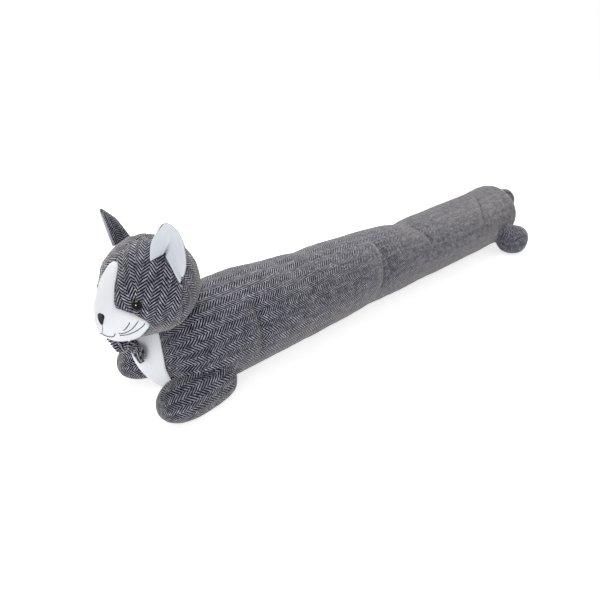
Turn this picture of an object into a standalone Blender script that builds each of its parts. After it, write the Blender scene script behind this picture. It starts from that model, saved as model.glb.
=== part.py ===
# A draught excluder in the shape of a cat: one long stuffed tube of herringbone tweed with
# front legs, a white bib, a round head with a white face, cupped ears, a bow tie, two hind
# feet and a tail. Metres, +Z up. The head points to -X and the cat's left side to -Y. The
# origin is on the floor under the middle of the whole object.

import math

import bmesh
import bpy
from mathutils import Matrix, Vector
from mathutils.bvhtree import BVHTree

OBJECT_NAME = "cat_draught_excluder"

# Clearances and cloth thicknesses
GAP = 0.0003
SEAT_GAP = 0.0004
FLEECE = 0.0014
EAR_CLOTH = 0.0013

# Body tube, measured from the chest along +X
CHEST_X = -0.4259
BODY_LENGTH = 0.852
CHEST_CAP = 0.060
RUMP_CAP = 0.030
CHEST_HEIGHT = 0.056
RUMP_HEIGHT = 0.062
RUMP_SQUARE = 3.0
FLOOR_SINK = 0.0022
BODY_SEGMENTS = 36
BODY_PITCH = 0.0125

# Front legs, as stuffed lobes at the foot of the chest
LEG_TOE_OUT = 5.0

# Hind legs, as short lobes that stick out at the foot of the rump
HIND_SIZE = (0.050, 0.060, 0.058)
HIND_PLACE = (0.784, 0.0785, 0.0285)
HIND_TURN = 12.0

# Head
HEAD_CENTRE = (CHEST_X + 0.0265, 0.0, 0.139)
HEAD_RADIUS = 0.0535
HEAD_TURN = 4.5

# Eyes, nose and ears
EYE_RADIUS = 0.0048
EYE_HEIGHT = 0.0026
EYE_DEPTH = 0.0012
EYE_PLACE = (39.8, 2.6)
EAR_TIP_HALF_WIDTH = 0.0120
EAR_FRONT_BULGE = 0.0050
EAR_BACK_BULGE = 0.0050
EAR_CUP = 0.0060
EAR_TIP_ROUND = 0.8

# Bow tie
BOW_CENTRE = (CHEST_X - 0.0038, 0.0031, 0.0768)
BOW_LOBE_LENGTH = 0.023
BOW_LOBE_THICKNESS = 0.0068
BOW_ROOT = 0.0040
BOW_ROOT_HALF_HEIGHT = 0.0042
BOW_FAN = 0.0062
BOW_PLEAT = 0.28
BOW_DROOP = 12.0
KNOT_SIZE = (0.0095, 0.0085, 0.0125)

# Tail
TAIL_RADIUS = 0.0135

# Front legs: name, then length, width and height, then place behind the chest, across and above
# the floor
LEGS = (
    ("leg_left", 0.103, 0.048, 0.052, 0.0390, -0.0490, 0.0240),
    ("leg_right", 0.096, 0.048, 0.047, 0.0500, 0.0525, 0.0215),
)

# Ears: name, side of the head (1 at the cat's left) and the place of the tip from the head centre
EARS = (
    ("ear_left", 1, -0.0015, -0.0495, 0.0740),
    ("ear_right", -1, -0.0140, 0.0495, 0.0745),
)

# Bow lobes: name, side and sweep toward the chest in degrees
BOW_LOBES = (
    ("bow_lobe_left", 1, -3.0),
    ("bow_lobe_right", -1, -22.0),
)

# Rows of the tube: station from the chest, half width and height
BODY_SECTIONS = (
    (0.000, 0.058, 0.118),
    (0.070, 0.061, 0.122),
    (0.142, 0.062, 0.120),
    (0.252, 0.060, 0.118),
    (0.340, 0.058, 0.116),
    (0.430, 0.056, 0.113),
    (0.520, 0.056, 0.108),
    (0.610, 0.059, 0.109),
    (0.700, 0.061, 0.111),
    (0.780, 0.062, 0.112),
    (0.852, 0.060, 0.119),
)

# Soft folds of the tube: station, angle from the top toward the cat's left, slant in metres a
# radian, half length in degrees, depth and half width
BODY_FOLDS = (
    (0.127, 75.0, 0.000, 38.0, 0.0030, 0.008),
    (0.215, 30.0, 0.010, 38.0, 0.0026, 0.010),
    (0.265, -35.0, 0.000, 45.0, 0.0028, 0.013),
    (0.379, 92.0, -0.009, 62.0, 0.0062, 0.014),
    (0.502, -35.0, 0.000, 65.0, 0.0052, 0.024),
    (0.719, 35.0, -0.054, 50.0, 0.0036, 0.009),
)

# Swellings and flats of the head: longitude, latitude, share of the radius and spread in degrees.
# Longitude 0 is straight ahead and grows toward the cat's left, latitude grows upward.
HEAD_FORM = (
    (0.0, -12.0, 0.060, 26.0),
    (-8.0, -37.0, 0.225, 27.0),
    (0.0, -80.0, -0.050, 34.0),
    (0.0, 30.0, -0.050, 34.0),
    (39.8, 2.6, -0.030, 12.0),
    (-39.8, 2.6, -0.050, 16.0),
    (180.0, -45.0, -0.130, 60.0),
    (180.0, 20.0, 0.020, 40.0),
)

# Face panel: longitude, latitude of the upper edge and of the lower edge
FACE_EDGES = (
    (0.0, 46.0, -52.0),
    (4.5, 45.0, -52.0),
    (9.0, 41.5, -51.9),
    (12.0, 34.5, -51.8),
    (14.4, 24.0, -51.7),
    (15.4, 8.0, -51.6),
    (17.0, -0.5, -51.5),
    (23.0, -3.5, -50.5),
    (32.0, -7.5, -47.0),
    (40.0, -12.5, -40.0),
    (46.0, -18.5, -32.5),
    (49.5, -25.0, -27.0),
)

# Nose: longitude, latitude of the upper edge and of the lower edge
NOSE_EDGES = (
    (0.0, -9.0, -18.5),
    (1.6, -8.8, -17.5),
    (3.4, -8.8, -14.5),
    (5.0, -9.5, -11.5),
)

# Foot of an ear on the head: longitude and latitude, from the face round to the neck
EAR_FOOT = (
    (60.5, 47.6),
    (69.0, 50.5),
    (79.0, 53.0),
    (86.5, 52.5),
    (86.0, 43.3),
    (86.0, 33.9),
    (87.0, 24.5),
    (88.5, 18.1),
)

# Bib: height above the floor, place of the middle across and half width
BIB_ROWS = (
    (0.0060, -0.0010, 0.0050),
    (0.0140, -0.0050, 0.0170),
    (0.0240, -0.0065, 0.0260),
    (0.0360, -0.0070, 0.0300),
    (0.0500, -0.0060, 0.0305),
    (0.0640, -0.0030, 0.0290),
    (0.0780, -0.0005, 0.0280),
    (0.0880, 0.0000, 0.0280),
)

# Tail: distance behind the chest, place across, height and share of the full radius
TAIL_PATH = (
    (0.842, -0.0150, 0.0980, 0.85),
    (0.860, -0.0200, 0.0930, 1.00),
    (0.873, -0.0210, 0.0800, 1.00),
    (0.876, -0.0160, 0.0640, 0.97),
    (0.874, -0.0080, 0.0480, 0.88),
    (0.870, 0.0000, 0.0350, 0.66),
)


def clear_scene():
    for obj in list(bpy.data.objects):
        bpy.data.objects.remove(obj, do_unlink=True)


def new_collection(name, hidden=False):
    collection = bpy.data.collections.new(name)
    bpy.context.scene.collection.children.link(collection)
    collection.hide_render = hidden
    return collection


def new_material(name, colour, roughness, sheen=0.0):
    material = bpy.data.materials.new(name)
    material.use_nodes = True
    shader = material.node_tree.nodes["Principled BSDF"]
    shader.inputs["Base Color"].default_value = (*colour, 1.0)
    shader.inputs["Roughness"].default_value = roughness
    shader.inputs["Metallic"].default_value = 0.0
    shader.inputs["Sheen Weight"].default_value = sheen
    return material


def add_object(name, mesh, material, collection, parent=None):
    obj = bpy.data.objects.new(name, mesh)
    if material:
        mesh.materials.append(material)
    mesh.shade_smooth()
    mesh.set_sharp_from_angle(angle=math.radians(50.0))
    collection.objects.link(obj)
    obj.parent = parent
    return obj


def as_cutter(obj):
    obj.hide_render = True
    obj.display_type = "WIRE"
    return obj


def boolean(target, other, operation):
    modifier = target.modifiers.new(f"{operation.lower()} {other.name}", "BOOLEAN")
    modifier.operation = operation
    modifier.object = other


def interpolate(rows, place, column):
    """Catmull-Rom curve through one column of a table whose first column is the place."""
    last = len(rows) - 1
    index = 0
    while index < last - 1 and rows[index + 1][0] < place:
        index += 1
    start, end = rows[index], rows[index + 1]
    before, after = rows[max(index - 1, 0)], rows[min(index + 2, last)]
    span = end[0] - start[0]
    share = min(max((place - start[0]) / span, 0.0), 1.0)
    slope_in = (end[column] - before[column]) / (end[0] - before[0]) * span
    slope_out = (after[column] - start[column]) / (after[0] - start[0]) * span
    square, cube = share**2, share**3
    return (
        (2 * cube - 3 * square + 1) * start[column]
        + (cube - 2 * square + share) * slope_in
        + (3 * square - 2 * cube) * end[column]
        + (cube - square) * slope_out
    )


def loft(name, rings, start, end):
    """A closed mesh through rings of equal length, with a point at each end."""
    shape = bmesh.new()
    loops = [[shape.verts.new(point) for point in ring] for ring in rings]
    count = len(loops[0])
    for first, second in zip(loops, loops[1:]):
        for index in range(count):
            following = (index + 1) % count
            shape.faces.new((first[index], first[following], second[following], second[index]))
    for tip, loop in ((start, loops[0]), (end, loops[-1])):
        point = shape.verts.new(tip)
        for index in range(count):
            shape.faces.new((point, loop[index], loop[(index + 1) % count]))
    bmesh.ops.recalc_face_normals(shape, faces=shape.faces[:])
    mesh = bpy.data.meshes.new(name)
    shape.to_mesh(mesh)
    shape.free()
    return mesh


def grid_mesh(name, rows):
    """An open sheet through rows of points of equal length."""
    shape = bmesh.new()
    lines = [[shape.verts.new(point) for point in row] for row in rows]
    for first, second in zip(lines, lines[1:]):
        for index in range(len(first) - 1):
            shape.faces.new((first[index], first[index + 1], second[index + 1], second[index]))
    mesh = bpy.data.meshes.new(name)
    shape.to_mesh(mesh)
    shape.free()
    return mesh


def lobe_mesh(name, size, fullness, segments=24, rings=14):
    """A stuffed lobe: a sphere filled out toward its box. Fullness 1 leaves it round."""
    shape = bmesh.new()
    bmesh.ops.create_uvsphere(shape, u_segments=segments, v_segments=rings, radius=1.0)
    for vert in shape.verts:
        for axis in range(3):
            reach = abs(vert.co[axis]) ** fullness * size[axis] / 2
            vert.co[axis] = math.copysign(reach, vert.co[axis])
    mesh = bpy.data.meshes.new(name)
    shape.to_mesh(mesh)
    shape.free()
    return mesh


def fold_depth(station, around):
    """How far the folds draw the tube in. Around is the angle from the top toward -Y."""
    depth = 0.0
    for place, angle, slant, reach, deep, wide in BODY_FOLDS:
        turn = math.remainder(around - math.radians(angle), 2 * math.pi)
        along = turn / math.radians(reach)
        off = (station - place - slant * turn) / wide
        depth += deep * math.exp(-off * off - along**4)
    return depth


def cap_share(station):
    """Share of the full section at a station: 1 along the tube, rounded off at both ends."""
    front = min(station / CHEST_CAP, 1.0)
    rear = min((BODY_LENGTH - station) / RUMP_CAP, 1.0)
    front_share = math.sqrt(max(1 - (1 - front) ** 2, 0.0))
    rear_share = max(1 - (1 - rear) ** RUMP_SQUARE, 0.0) ** (1 / RUMP_SQUARE)
    return front_share * rear_share


def body_point(station, around, grow=0.0):
    half_width = interpolate(BODY_SECTIONS, station, 1)
    height = interpolate(BODY_SECTIONS, station, 2)
    middle = height / 2 - FLOOR_SINK
    share = cap_share(station)
    end_height = CHEST_HEIGHT if station < BODY_LENGTH / 2 else RUMP_HEIGHT
    centre = end_height + (middle - end_height) * share
    draw = share * fold_depth(station, around) - grow
    across = (half_width * share - draw) * math.sin(around)
    up = (height / 2 * share - draw) * math.cos(around)
    return Vector((CHEST_X + station, -across, centre + up))


def body_stations():
    """Stations along the tube, close together where the ends round off."""
    steps = 5
    quarter = math.pi / 2
    chest = [CHEST_CAP * (1 - math.cos(quarter * step / steps)) for step in range(1, steps)]
    rump = [
        BODY_LENGTH - RUMP_CAP * (1 - math.cos(quarter * step / steps)) for step in range(1, steps)
    ]
    count = round((BODY_LENGTH - CHEST_CAP - RUMP_CAP) / BODY_PITCH)
    pitch = (BODY_LENGTH - CHEST_CAP - RUMP_CAP) / count
    tube = [CHEST_CAP + pitch * index for index in range(count + 1)]
    return chest + tube + rump[::-1]


def tube_mesh(name, grow=0.0):
    angles = [2 * math.pi * index / BODY_SEGMENTS for index in range(BODY_SEGMENTS)]
    rings = [[body_point(station, around, grow) for around in angles] for station in body_stations()]
    start = Vector((CHEST_X - grow, 0.0, CHEST_HEIGHT))
    end = Vector((CHEST_X + BODY_LENGTH + grow, 0.0, RUMP_HEIGHT))
    return loft(name, rings, start, end)


def direction(longitude, latitude):
    lon, lat = math.radians(longitude), math.radians(latitude)
    return Vector((-math.cos(lat) * math.cos(lon), -math.cos(lat) * math.sin(lon), math.sin(lat)))


def head_reach(way):
    """Distance from the head's centre to its surface along a direction."""
    reach = 1.0
    for longitude, latitude, share, spread in HEAD_FORM:
        apart = math.degrees(way.angle(direction(longitude, latitude)))
        reach += share * math.exp(-((apart / spread) ** 2))
    return HEAD_RADIUS * reach


def head_point(longitude, latitude, grow=0.0):
    way = direction(longitude, latitude)
    return way * (head_reach(way) + grow)


def head_mesh(name, grow=0.0):
    shape = bmesh.new()
    bmesh.ops.create_uvsphere(shape, u_segments=40, v_segments=24, radius=1.0)
    for vert in shape.verts:
        way = vert.co.normalized()
        vert.co = way * (head_reach(way) + grow)
    mesh = bpy.data.meshes.new(name)
    shape.to_mesh(mesh)
    shape.free()
    return mesh


def solidify(obj, thickness, side=1.0):
    modifier = obj.modifiers.new("cloth", "SOLIDIFY")
    modifier.thickness = thickness
    modifier.offset = side
    modifier.use_even_offset = False


def head_patch(name, edges, steps, grow):
    """A sheet on the head between the two edges of a table, the same on both sides."""
    columns = [(-row[0], row[1], row[2]) for row in edges[:0:-1]] + list(edges)
    rows = []
    for longitude, upper, lower in columns:
        line = []
        for step in range(steps + 1):
            latitude = lower + (upper - lower) * step / steps
            line.append(head_point(longitude, latitude, grow))
        rows.append(line)
    return grid_mesh(name, rows[::-1])


def ear_rows(side, tip):
    """Points of an ear from its foot on the head to its tip. Side is 1 at -Y and -1 at +Y."""
    foot = [head_point(lon, lat, SEAT_GAP + EAR_CLOTH) for lon, lat in EAR_FOOT]
    tip = Vector((tip[0], tip[1] * side, tip[2]))
    across = (foot[-1] - foot[0]).normalized()
    last = len(foot) - 1
    rows = []
    levels = 9
    for level in range(levels + 1):
        rise = level / levels
        row = []
        for index, base in enumerate(foot):
            spread = 2 * index / last - 1
            drop = (1 - math.sqrt(1 - spread**2)) * EAR_TIP_HALF_WIDTH * EAR_TIP_ROUND
            top = tip + across * spread * EAR_TIP_HALF_WIDTH - Vector((0.0, 0.0, drop))
            bulge = EAR_BACK_BULGE if spread > 0 else EAR_FRONT_BULGE
            swell = across * spread * bulge * math.sin(math.pi * rise)
            cup = EAR_CUP * (1 - spread**2) * math.sin(math.pi * rise)
            point = base.lerp(top, rise) + swell + Vector((cup, 0.0, 0.0))
            row.append(Vector((point.x, point.y * side, point.z)))
        rows.append(row if side > 0 else row[::-1])
    return rows


def shift_along_normals(mesh, distance):
    normals = [vert.normal.copy() for vert in mesh.vertices]
    for vert, normal in zip(mesh.vertices, normals):
        vert.co += normal * distance


def add_ear(name, side, tip, materials, collection, parent):
    """An ear of two cloths, the white lining toward the front and the tweed behind it."""
    for layer, facing, material in (("lining", 1.0, materials[0]), ("back", -1.0, materials[1])):
        mesh = grid_mesh(f"{name}_{layer}", ear_rows(side, tip))
        shift_along_normals(mesh, facing * GAP / 2)
        obj = add_object(f"{name}_{layer}", mesh, material, collection, parent)
        solidify(obj, EAR_CLOTH, facing)


def add_eye(name, side, material, collection, parent, cutter):
    """A domed button eye, turned from its profile and shaped to the head behind it."""
    profile = bmesh.new()
    steps = 6
    points = [Vector((0.0, 0.0, EYE_HEIGHT))]
    for step in range(1, steps + 1):
        turn = math.pi / 2 * step / steps
        points.append(Vector((EYE_RADIUS * math.sin(turn), 0.0, EYE_HEIGHT * math.cos(turn))))
    points.append(Vector((EYE_RADIUS, 0.0, -EYE_DEPTH)))
    points.append(Vector((0.0, 0.0, -EYE_DEPTH)))
    verts = [profile.verts.new(point) for point in points]
    for first, second in zip(verts, verts[1:]):
        profile.edges.new((first, second))
    mesh = bpy.data.meshes.new(name)
    profile.to_mesh(mesh)
    profile.free()
    obj = add_object(name, mesh, material, collection, parent)
    screw = obj.modifiers.new("turn", "SCREW")
    screw.axis = "Z"
    screw.steps = 20
    screw.render_steps = 20
    screw.use_merge_vertices = True
    screw.merge_threshold = 0.00001
    longitude, latitude = EYE_PLACE
    way = direction(longitude * side, latitude)
    obj.location = way * (head_reach(way) + SEAT_GAP)
    obj.rotation_euler = way.to_track_quat("Z", "Y").to_euler()
    boolean(obj, cutter, "DIFFERENCE")
    return obj


def bow_lobe_mesh(name, side):
    """A pleated loop of the bow: narrow at the knot and fanned out at its end."""
    rings = []
    steps, count = 8, 24
    round_from, round_over = 0.8, 0.24
    for step in range(steps + 1):
        share = step / steps
        reach = BOW_ROOT + (BOW_LOBE_LENGTH - BOW_ROOT) * share
        half_height = BOW_ROOT_HALF_HEIGHT + BOW_FAN * math.sin(math.pi / 2 * share**0.8)
        end = math.sqrt(max(1 - max((share - round_from) / round_over, 0.0) ** 2, 0.0))
        ring = []
        for index in range(count):
            around = 2 * math.pi * index / count
            up = half_height * end * math.sin(around)
            pleat = 1 + BOW_PLEAT * math.cos(3 * math.pi * math.sin(around)) * (1 - share / 2)
            through = BOW_LOBE_THICKNESS / 2 * end * math.cos(around) * pleat
            ring.append(Vector((through, -side * reach, up)))
        rings.append(ring)
    start = Vector((0.0, -side * (BOW_ROOT - SEAT_GAP), 0.0))
    end = Vector((0.0, -side * (BOW_LOBE_LENGTH + 2 * SEAT_GAP), 0.0))
    return loft(name, rings, start, end)


def add_tail(name, material, collection, cutter):
    """A stuffed tail sewn to the top of the rump, hanging down behind it."""
    curve = bpy.data.curves.new(name, "CURVE")
    curve.dimensions = "3D"
    curve.bevel_depth = TAIL_RADIUS
    curve.bevel_resolution = 3
    curve.use_fill_caps = True
    count = 16
    spline = curve.splines.new("POLY")
    spline.points.add(count)
    rows = [(index, *row) for index, row in enumerate(TAIL_PATH)]
    for step in range(count + 1):
        place = (len(rows) - 1) * step / count
        x = CHEST_X + interpolate(rows, place, 1)
        y, z = (interpolate(rows, place, column) for column in (2, 3))
        spline.points[step].co = (x, y, z, 1.0)
        ends = min((step + 0.6) / 2.5, (count - step + 0.25) / 2.5, 1.0)
        spline.points[step].radius = interpolate(rows, place, 4) * math.sqrt(ends)
    wire = bpy.data.objects.new(f"{name}_wire", curve)
    collection.objects.link(wire)
    bpy.context.view_layer.update()
    graph = bpy.context.evaluated_depsgraph_get()
    mesh = bpy.data.meshes.new_from_object(wire.evaluated_get(graph))
    shape = bmesh.new()
    shape.from_mesh(mesh)
    bmesh.ops.remove_doubles(shape, verts=shape.verts[:], dist=0.00001)
    shape.to_mesh(mesh)
    shape.free()
    place = wire.matrix_world.copy()
    bpy.data.objects.remove(wire, do_unlink=True)
    obj = add_object(name, mesh, material, collection)
    obj.matrix_world = place
    boolean(obj, cutter, "DIFFERENCE")
    return obj


def add_bib(name, body, material, collection):
    """The white chest panel, laid on the front of the body and smoothed over its dips."""
    bpy.context.view_layer.update()
    tree = BVHTree.FromObject(body, bpy.context.evaluated_depsgraph_get())
    columns, levels, passes = 10, 22, 6
    first, last = BIB_ROWS[0][0], BIB_ROWS[-1][0]
    rows = []
    for level in range(levels + 1):
        height = first + (last - first) * level / levels
        middle = interpolate(BIB_ROWS, height, 1)
        half_width = interpolate(BIB_ROWS, height, 2)
        row = []
        for column in range(columns + 1):
            across = middle + half_width * (2 * column / columns - 1)
            start = Vector((CHEST_X - 0.2, across, height))
            place, normal, _, _ = tree.ray_cast(start, Vector((1.0, 0.0, 0.0)))
            row.append(place + normal * GAP * 2)
        rows.append(row)
    # The sheet spans the dips: each point moves forward to the mean of its neighbours
    for _ in range(passes):
        for level in range(levels + 1):
            for column in range(columns + 1):
                point = rows[level][column]
                around = [
                    rows[min(max(level + up, 0), levels)][min(max(column + side, 0), columns)].x
                    for up, side in ((1, 0), (-1, 0), (0, 1), (0, -1))
                ]
                point.x = min(point.x, sum(around) / len(around))
    mesh = grid_mesh(name, rows)
    obj = add_object(name, mesh, material, collection)
    solidify(obj, FLEECE, -1.0)
    return obj


def build():
    clear_scene()
    parts = new_collection(OBJECT_NAME)
    cutters = new_collection("cutters", hidden=True)

    tweed = new_material("herringbone_tweed", (0.105, 0.108, 0.118), 0.92, 0.2)
    fleece = new_material("white_fleece", (0.80, 0.82, 0.87), 0.90, 0.2)
    eye_black = new_material("eye_black", (0.008, 0.008, 0.010), 0.12)
    thread = new_material("black_thread", (0.012, 0.012, 0.015), 0.65)

    # Cutters: the floor, the tube grown by the seat gap and the head grown by the seat gap
    floor_mesh = bpy.data.meshes.new("floor_block")
    shape = bmesh.new()
    bmesh.ops.create_cube(shape, size=1.0)
    bmesh.ops.scale(shape, vec=(2.0, 1.0, 0.1), verts=shape.verts[:])
    bmesh.ops.translate(shape, vec=(0.0, 0.0, -0.05), verts=shape.verts[:])
    shape.to_mesh(floor_mesh)
    shape.free()
    floor_block = as_cutter(add_object("floor_block", floor_mesh, None, cutters))
    tube_seat = as_cutter(add_object("tube_seat", tube_mesh("tube_seat", SEAT_GAP), None, cutters))

    head_pivot = bpy.data.objects.new("head_pivot", None)
    parts.objects.link(head_pivot)
    head_pivot.location = HEAD_CENTRE
    head_pivot.rotation_euler = (0.0, 0.0, math.radians(HEAD_TURN))
    head_seat = as_cutter(
        add_object("head_seat", head_mesh("head_seat", SEAT_GAP), None, cutters, head_pivot)
    )

    # Body with its front and hind legs
    body = add_object("body", tube_mesh("body"), tweed, parts)
    for name, length, width, height, behind, across, above in LEGS:
        size = (length, width, height)
        leg = as_cutter(add_object(name, lobe_mesh(name, size, 0.82), None, cutters))
        leg.location = (CHEST_X + behind, across, above)
        leg.rotation_euler = (0.0, 0.0, math.copysign(math.radians(LEG_TOE_OUT), -across))
        boolean(body, leg, "UNION")
    for name, side in (("hind_left", -1), ("hind_right", 1)):
        leg = as_cutter(add_object(name, lobe_mesh(name, HIND_SIZE, 0.85), None, cutters))
        leg.location = (CHEST_X + HIND_PLACE[0], side * HIND_PLACE[1], HIND_PLACE[2])
        leg.rotation_euler = (0.0, 0.0, -side * math.radians(HIND_TURN))
        boolean(body, leg, "UNION")
    boolean(body, head_seat, "DIFFERENCE")
    boolean(body, floor_block, "DIFFERENCE")
    add_bib("bib", body, fleece, parts)

    # Head, face, nose, eyes and ears
    add_object("head", head_mesh("head"), tweed, parts, head_pivot)
    face_mesh = head_patch("face_panel", FACE_EDGES, 12, GAP)
    face = add_object("face_panel", face_mesh, fleece, parts, head_pivot)
    solidify(face, FLEECE)
    nose_mesh = head_patch("nose", NOSE_EDGES, 6, GAP * 2 + FLEECE)
    nose = add_object("nose", nose_mesh, thread, parts, head_pivot)
    solidify(nose, FLEECE)
    for name, side in (("eye_left", 1), ("eye_right", -1)):
        add_eye(name, side, eye_black, parts, head_pivot, head_seat)
    for name, side, *tip in EARS:
        add_ear(name, side, tip, (fleece, tweed), parts, head_pivot)

    # Bow tie
    knot = add_object("bow_knot", lobe_mesh("bow_knot", KNOT_SIZE, 0.8, 16, 10), tweed, parts)
    knot.location = BOW_CENTRE
    seat_size = [size + 2 * SEAT_GAP for size in KNOT_SIZE]
    knot_seat = as_cutter(
        add_object("knot_seat", lobe_mesh("knot_seat", seat_size, 0.8, 16, 10), None, cutters)
    )
    knot_seat.location = BOW_CENTRE
    for name, side, sweep in BOW_LOBES:
        lobe = add_object(name, bow_lobe_mesh(name, side), tweed, parts)
        lobe.location = BOW_CENTRE
        turn = Matrix.Rotation(side * math.radians(sweep), 4, "Z")
        droop = Matrix.Rotation(side * math.radians(BOW_DROOP), 4, "X")
        lobe.rotation_euler = (turn @ droop).to_euler()
        boolean(lobe, knot_seat, "DIFFERENCE")

    add_tail("tail", tweed, parts, tube_seat)


build()
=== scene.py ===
import math

import bmesh
import bpy
import numpy as np
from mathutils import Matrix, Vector, noise
from mathutils.bvhtree import BVHTree
from mathutils.kdtree import KDTree


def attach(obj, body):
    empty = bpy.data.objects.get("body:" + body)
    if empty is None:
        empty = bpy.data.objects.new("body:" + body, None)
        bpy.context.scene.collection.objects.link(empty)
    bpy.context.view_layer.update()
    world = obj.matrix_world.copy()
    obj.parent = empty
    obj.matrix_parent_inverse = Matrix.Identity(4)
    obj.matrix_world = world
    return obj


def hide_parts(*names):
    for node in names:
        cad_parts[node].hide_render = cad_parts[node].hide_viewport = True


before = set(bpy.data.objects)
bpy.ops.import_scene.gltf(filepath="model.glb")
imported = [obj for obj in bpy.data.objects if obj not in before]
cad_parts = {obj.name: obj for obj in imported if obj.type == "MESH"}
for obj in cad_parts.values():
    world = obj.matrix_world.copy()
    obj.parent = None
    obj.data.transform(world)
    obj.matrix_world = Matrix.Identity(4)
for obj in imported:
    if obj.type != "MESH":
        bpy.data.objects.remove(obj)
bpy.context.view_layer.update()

chestX = -0.4259  # where the chest starts, the tube runs along +X from here


# Camera

cameraView = {
    "place": (-0.6442, -0.4533, 0.3507),
    "azimuth": -46.0,
    "elevation": 25.0,
    "lens": 30.6,
    "sensor": 36.0,
}


def addObject(name, data):
    item = bpy.data.objects.new(name, data)
    bpy.context.scene.collection.objects.link(item)
    return item


def placeCamera(view):
    turn, rise = math.radians(view["azimuth"]), math.radians(view["elevation"])
    back = Vector((math.sin(turn) * math.cos(rise), -math.cos(turn) * math.cos(rise), math.sin(rise)))
    data = bpy.data.cameras.new("photoCamera")
    data.lens = view["lens"]
    data.sensor_width = view["sensor"]
    camera = addObject("photoCamera", data)
    camera.location = view["place"]
    camera.rotation_euler = back.to_track_quat("Z", "Y").to_euler()
    bpy.context.scene.camera = camera


placeCamera(cameraView)


# Shader helpers

def newGroup(name, inputs, outputs):
    group = bpy.data.node_groups.new(name, "ShaderNodeTree")
    for label, kind, value in inputs:
        socket = group.interface.new_socket(label, in_out="INPUT", socket_type=kind)
        if value is not None:
            socket.default_value = value
    for label, kind in outputs:
        group.interface.new_socket(label, in_out="OUTPUT", socket_type=kind)
    return group, group.nodes.new("NodeGroupInput").outputs, group.nodes.new("NodeGroupOutput").inputs


def mathNode(tree, operation, first, second=None, third=None, clamp=False):
    node = tree.nodes.new("ShaderNodeMath")
    node.operation = operation
    node.use_clamp = clamp
    for index, value in enumerate((first, second, third)):
        if value is None:
            continue
        if isinstance(value, (int, float)):
            node.inputs[index].default_value = value
        else:
            tree.links.new(value, node.inputs[index])
    return node.outputs[0]


def setSockets(node, **values):  # an underscore stands for the blank in a socket's name
    for label, value in values.items():
        node.inputs[label.replace("_", " ")].default_value = value


def noiseNode(tree, vector, scale):
    node = tree.nodes.new("ShaderNodeTexNoise")
    setSockets(node, Scale=scale, Detail=1.0, Roughness=0.5)
    tree.links.new(vector, node.inputs["Vector"])
    return node.outputs["Fac"]


def readAttribute(tree, name, output):
    node = tree.nodes.new("ShaderNodeAttribute")
    node.attribute_name = name
    return node.outputs[output]


def mixColour(tree, share, first, second, blend="MIX"):
    node = tree.nodes.new("ShaderNodeMix")
    node.data_type = "RGBA"
    node.blend_type = blend
    for socket, value in ((node.inputs["Factor"], share), (node.inputs[6], first), (node.inputs[7], second)):
        if isinstance(value, (int, float)):
            socket.default_value = value
        elif isinstance(value, tuple):
            socket.default_value = (*value, 1.0)
        else:
            tree.links.new(value, socket)
    return node.outputs[2]


# Herringbone: twill lines that turn back at each column, in threads. u runs along the column.

herringbone = {
    "wanderAlong": 55.0,
    "wanderAcross": 38.0,
    "turnShift": 0.35,
    "unevenLines": 0.07,
    "softEdge": 0.22,
    "crown": -0.55,
    "weftHeight": 0.35,
    "streakStretch": (0.16, 1.0, 1.0),
    "streakScale": 330.0,
}


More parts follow.
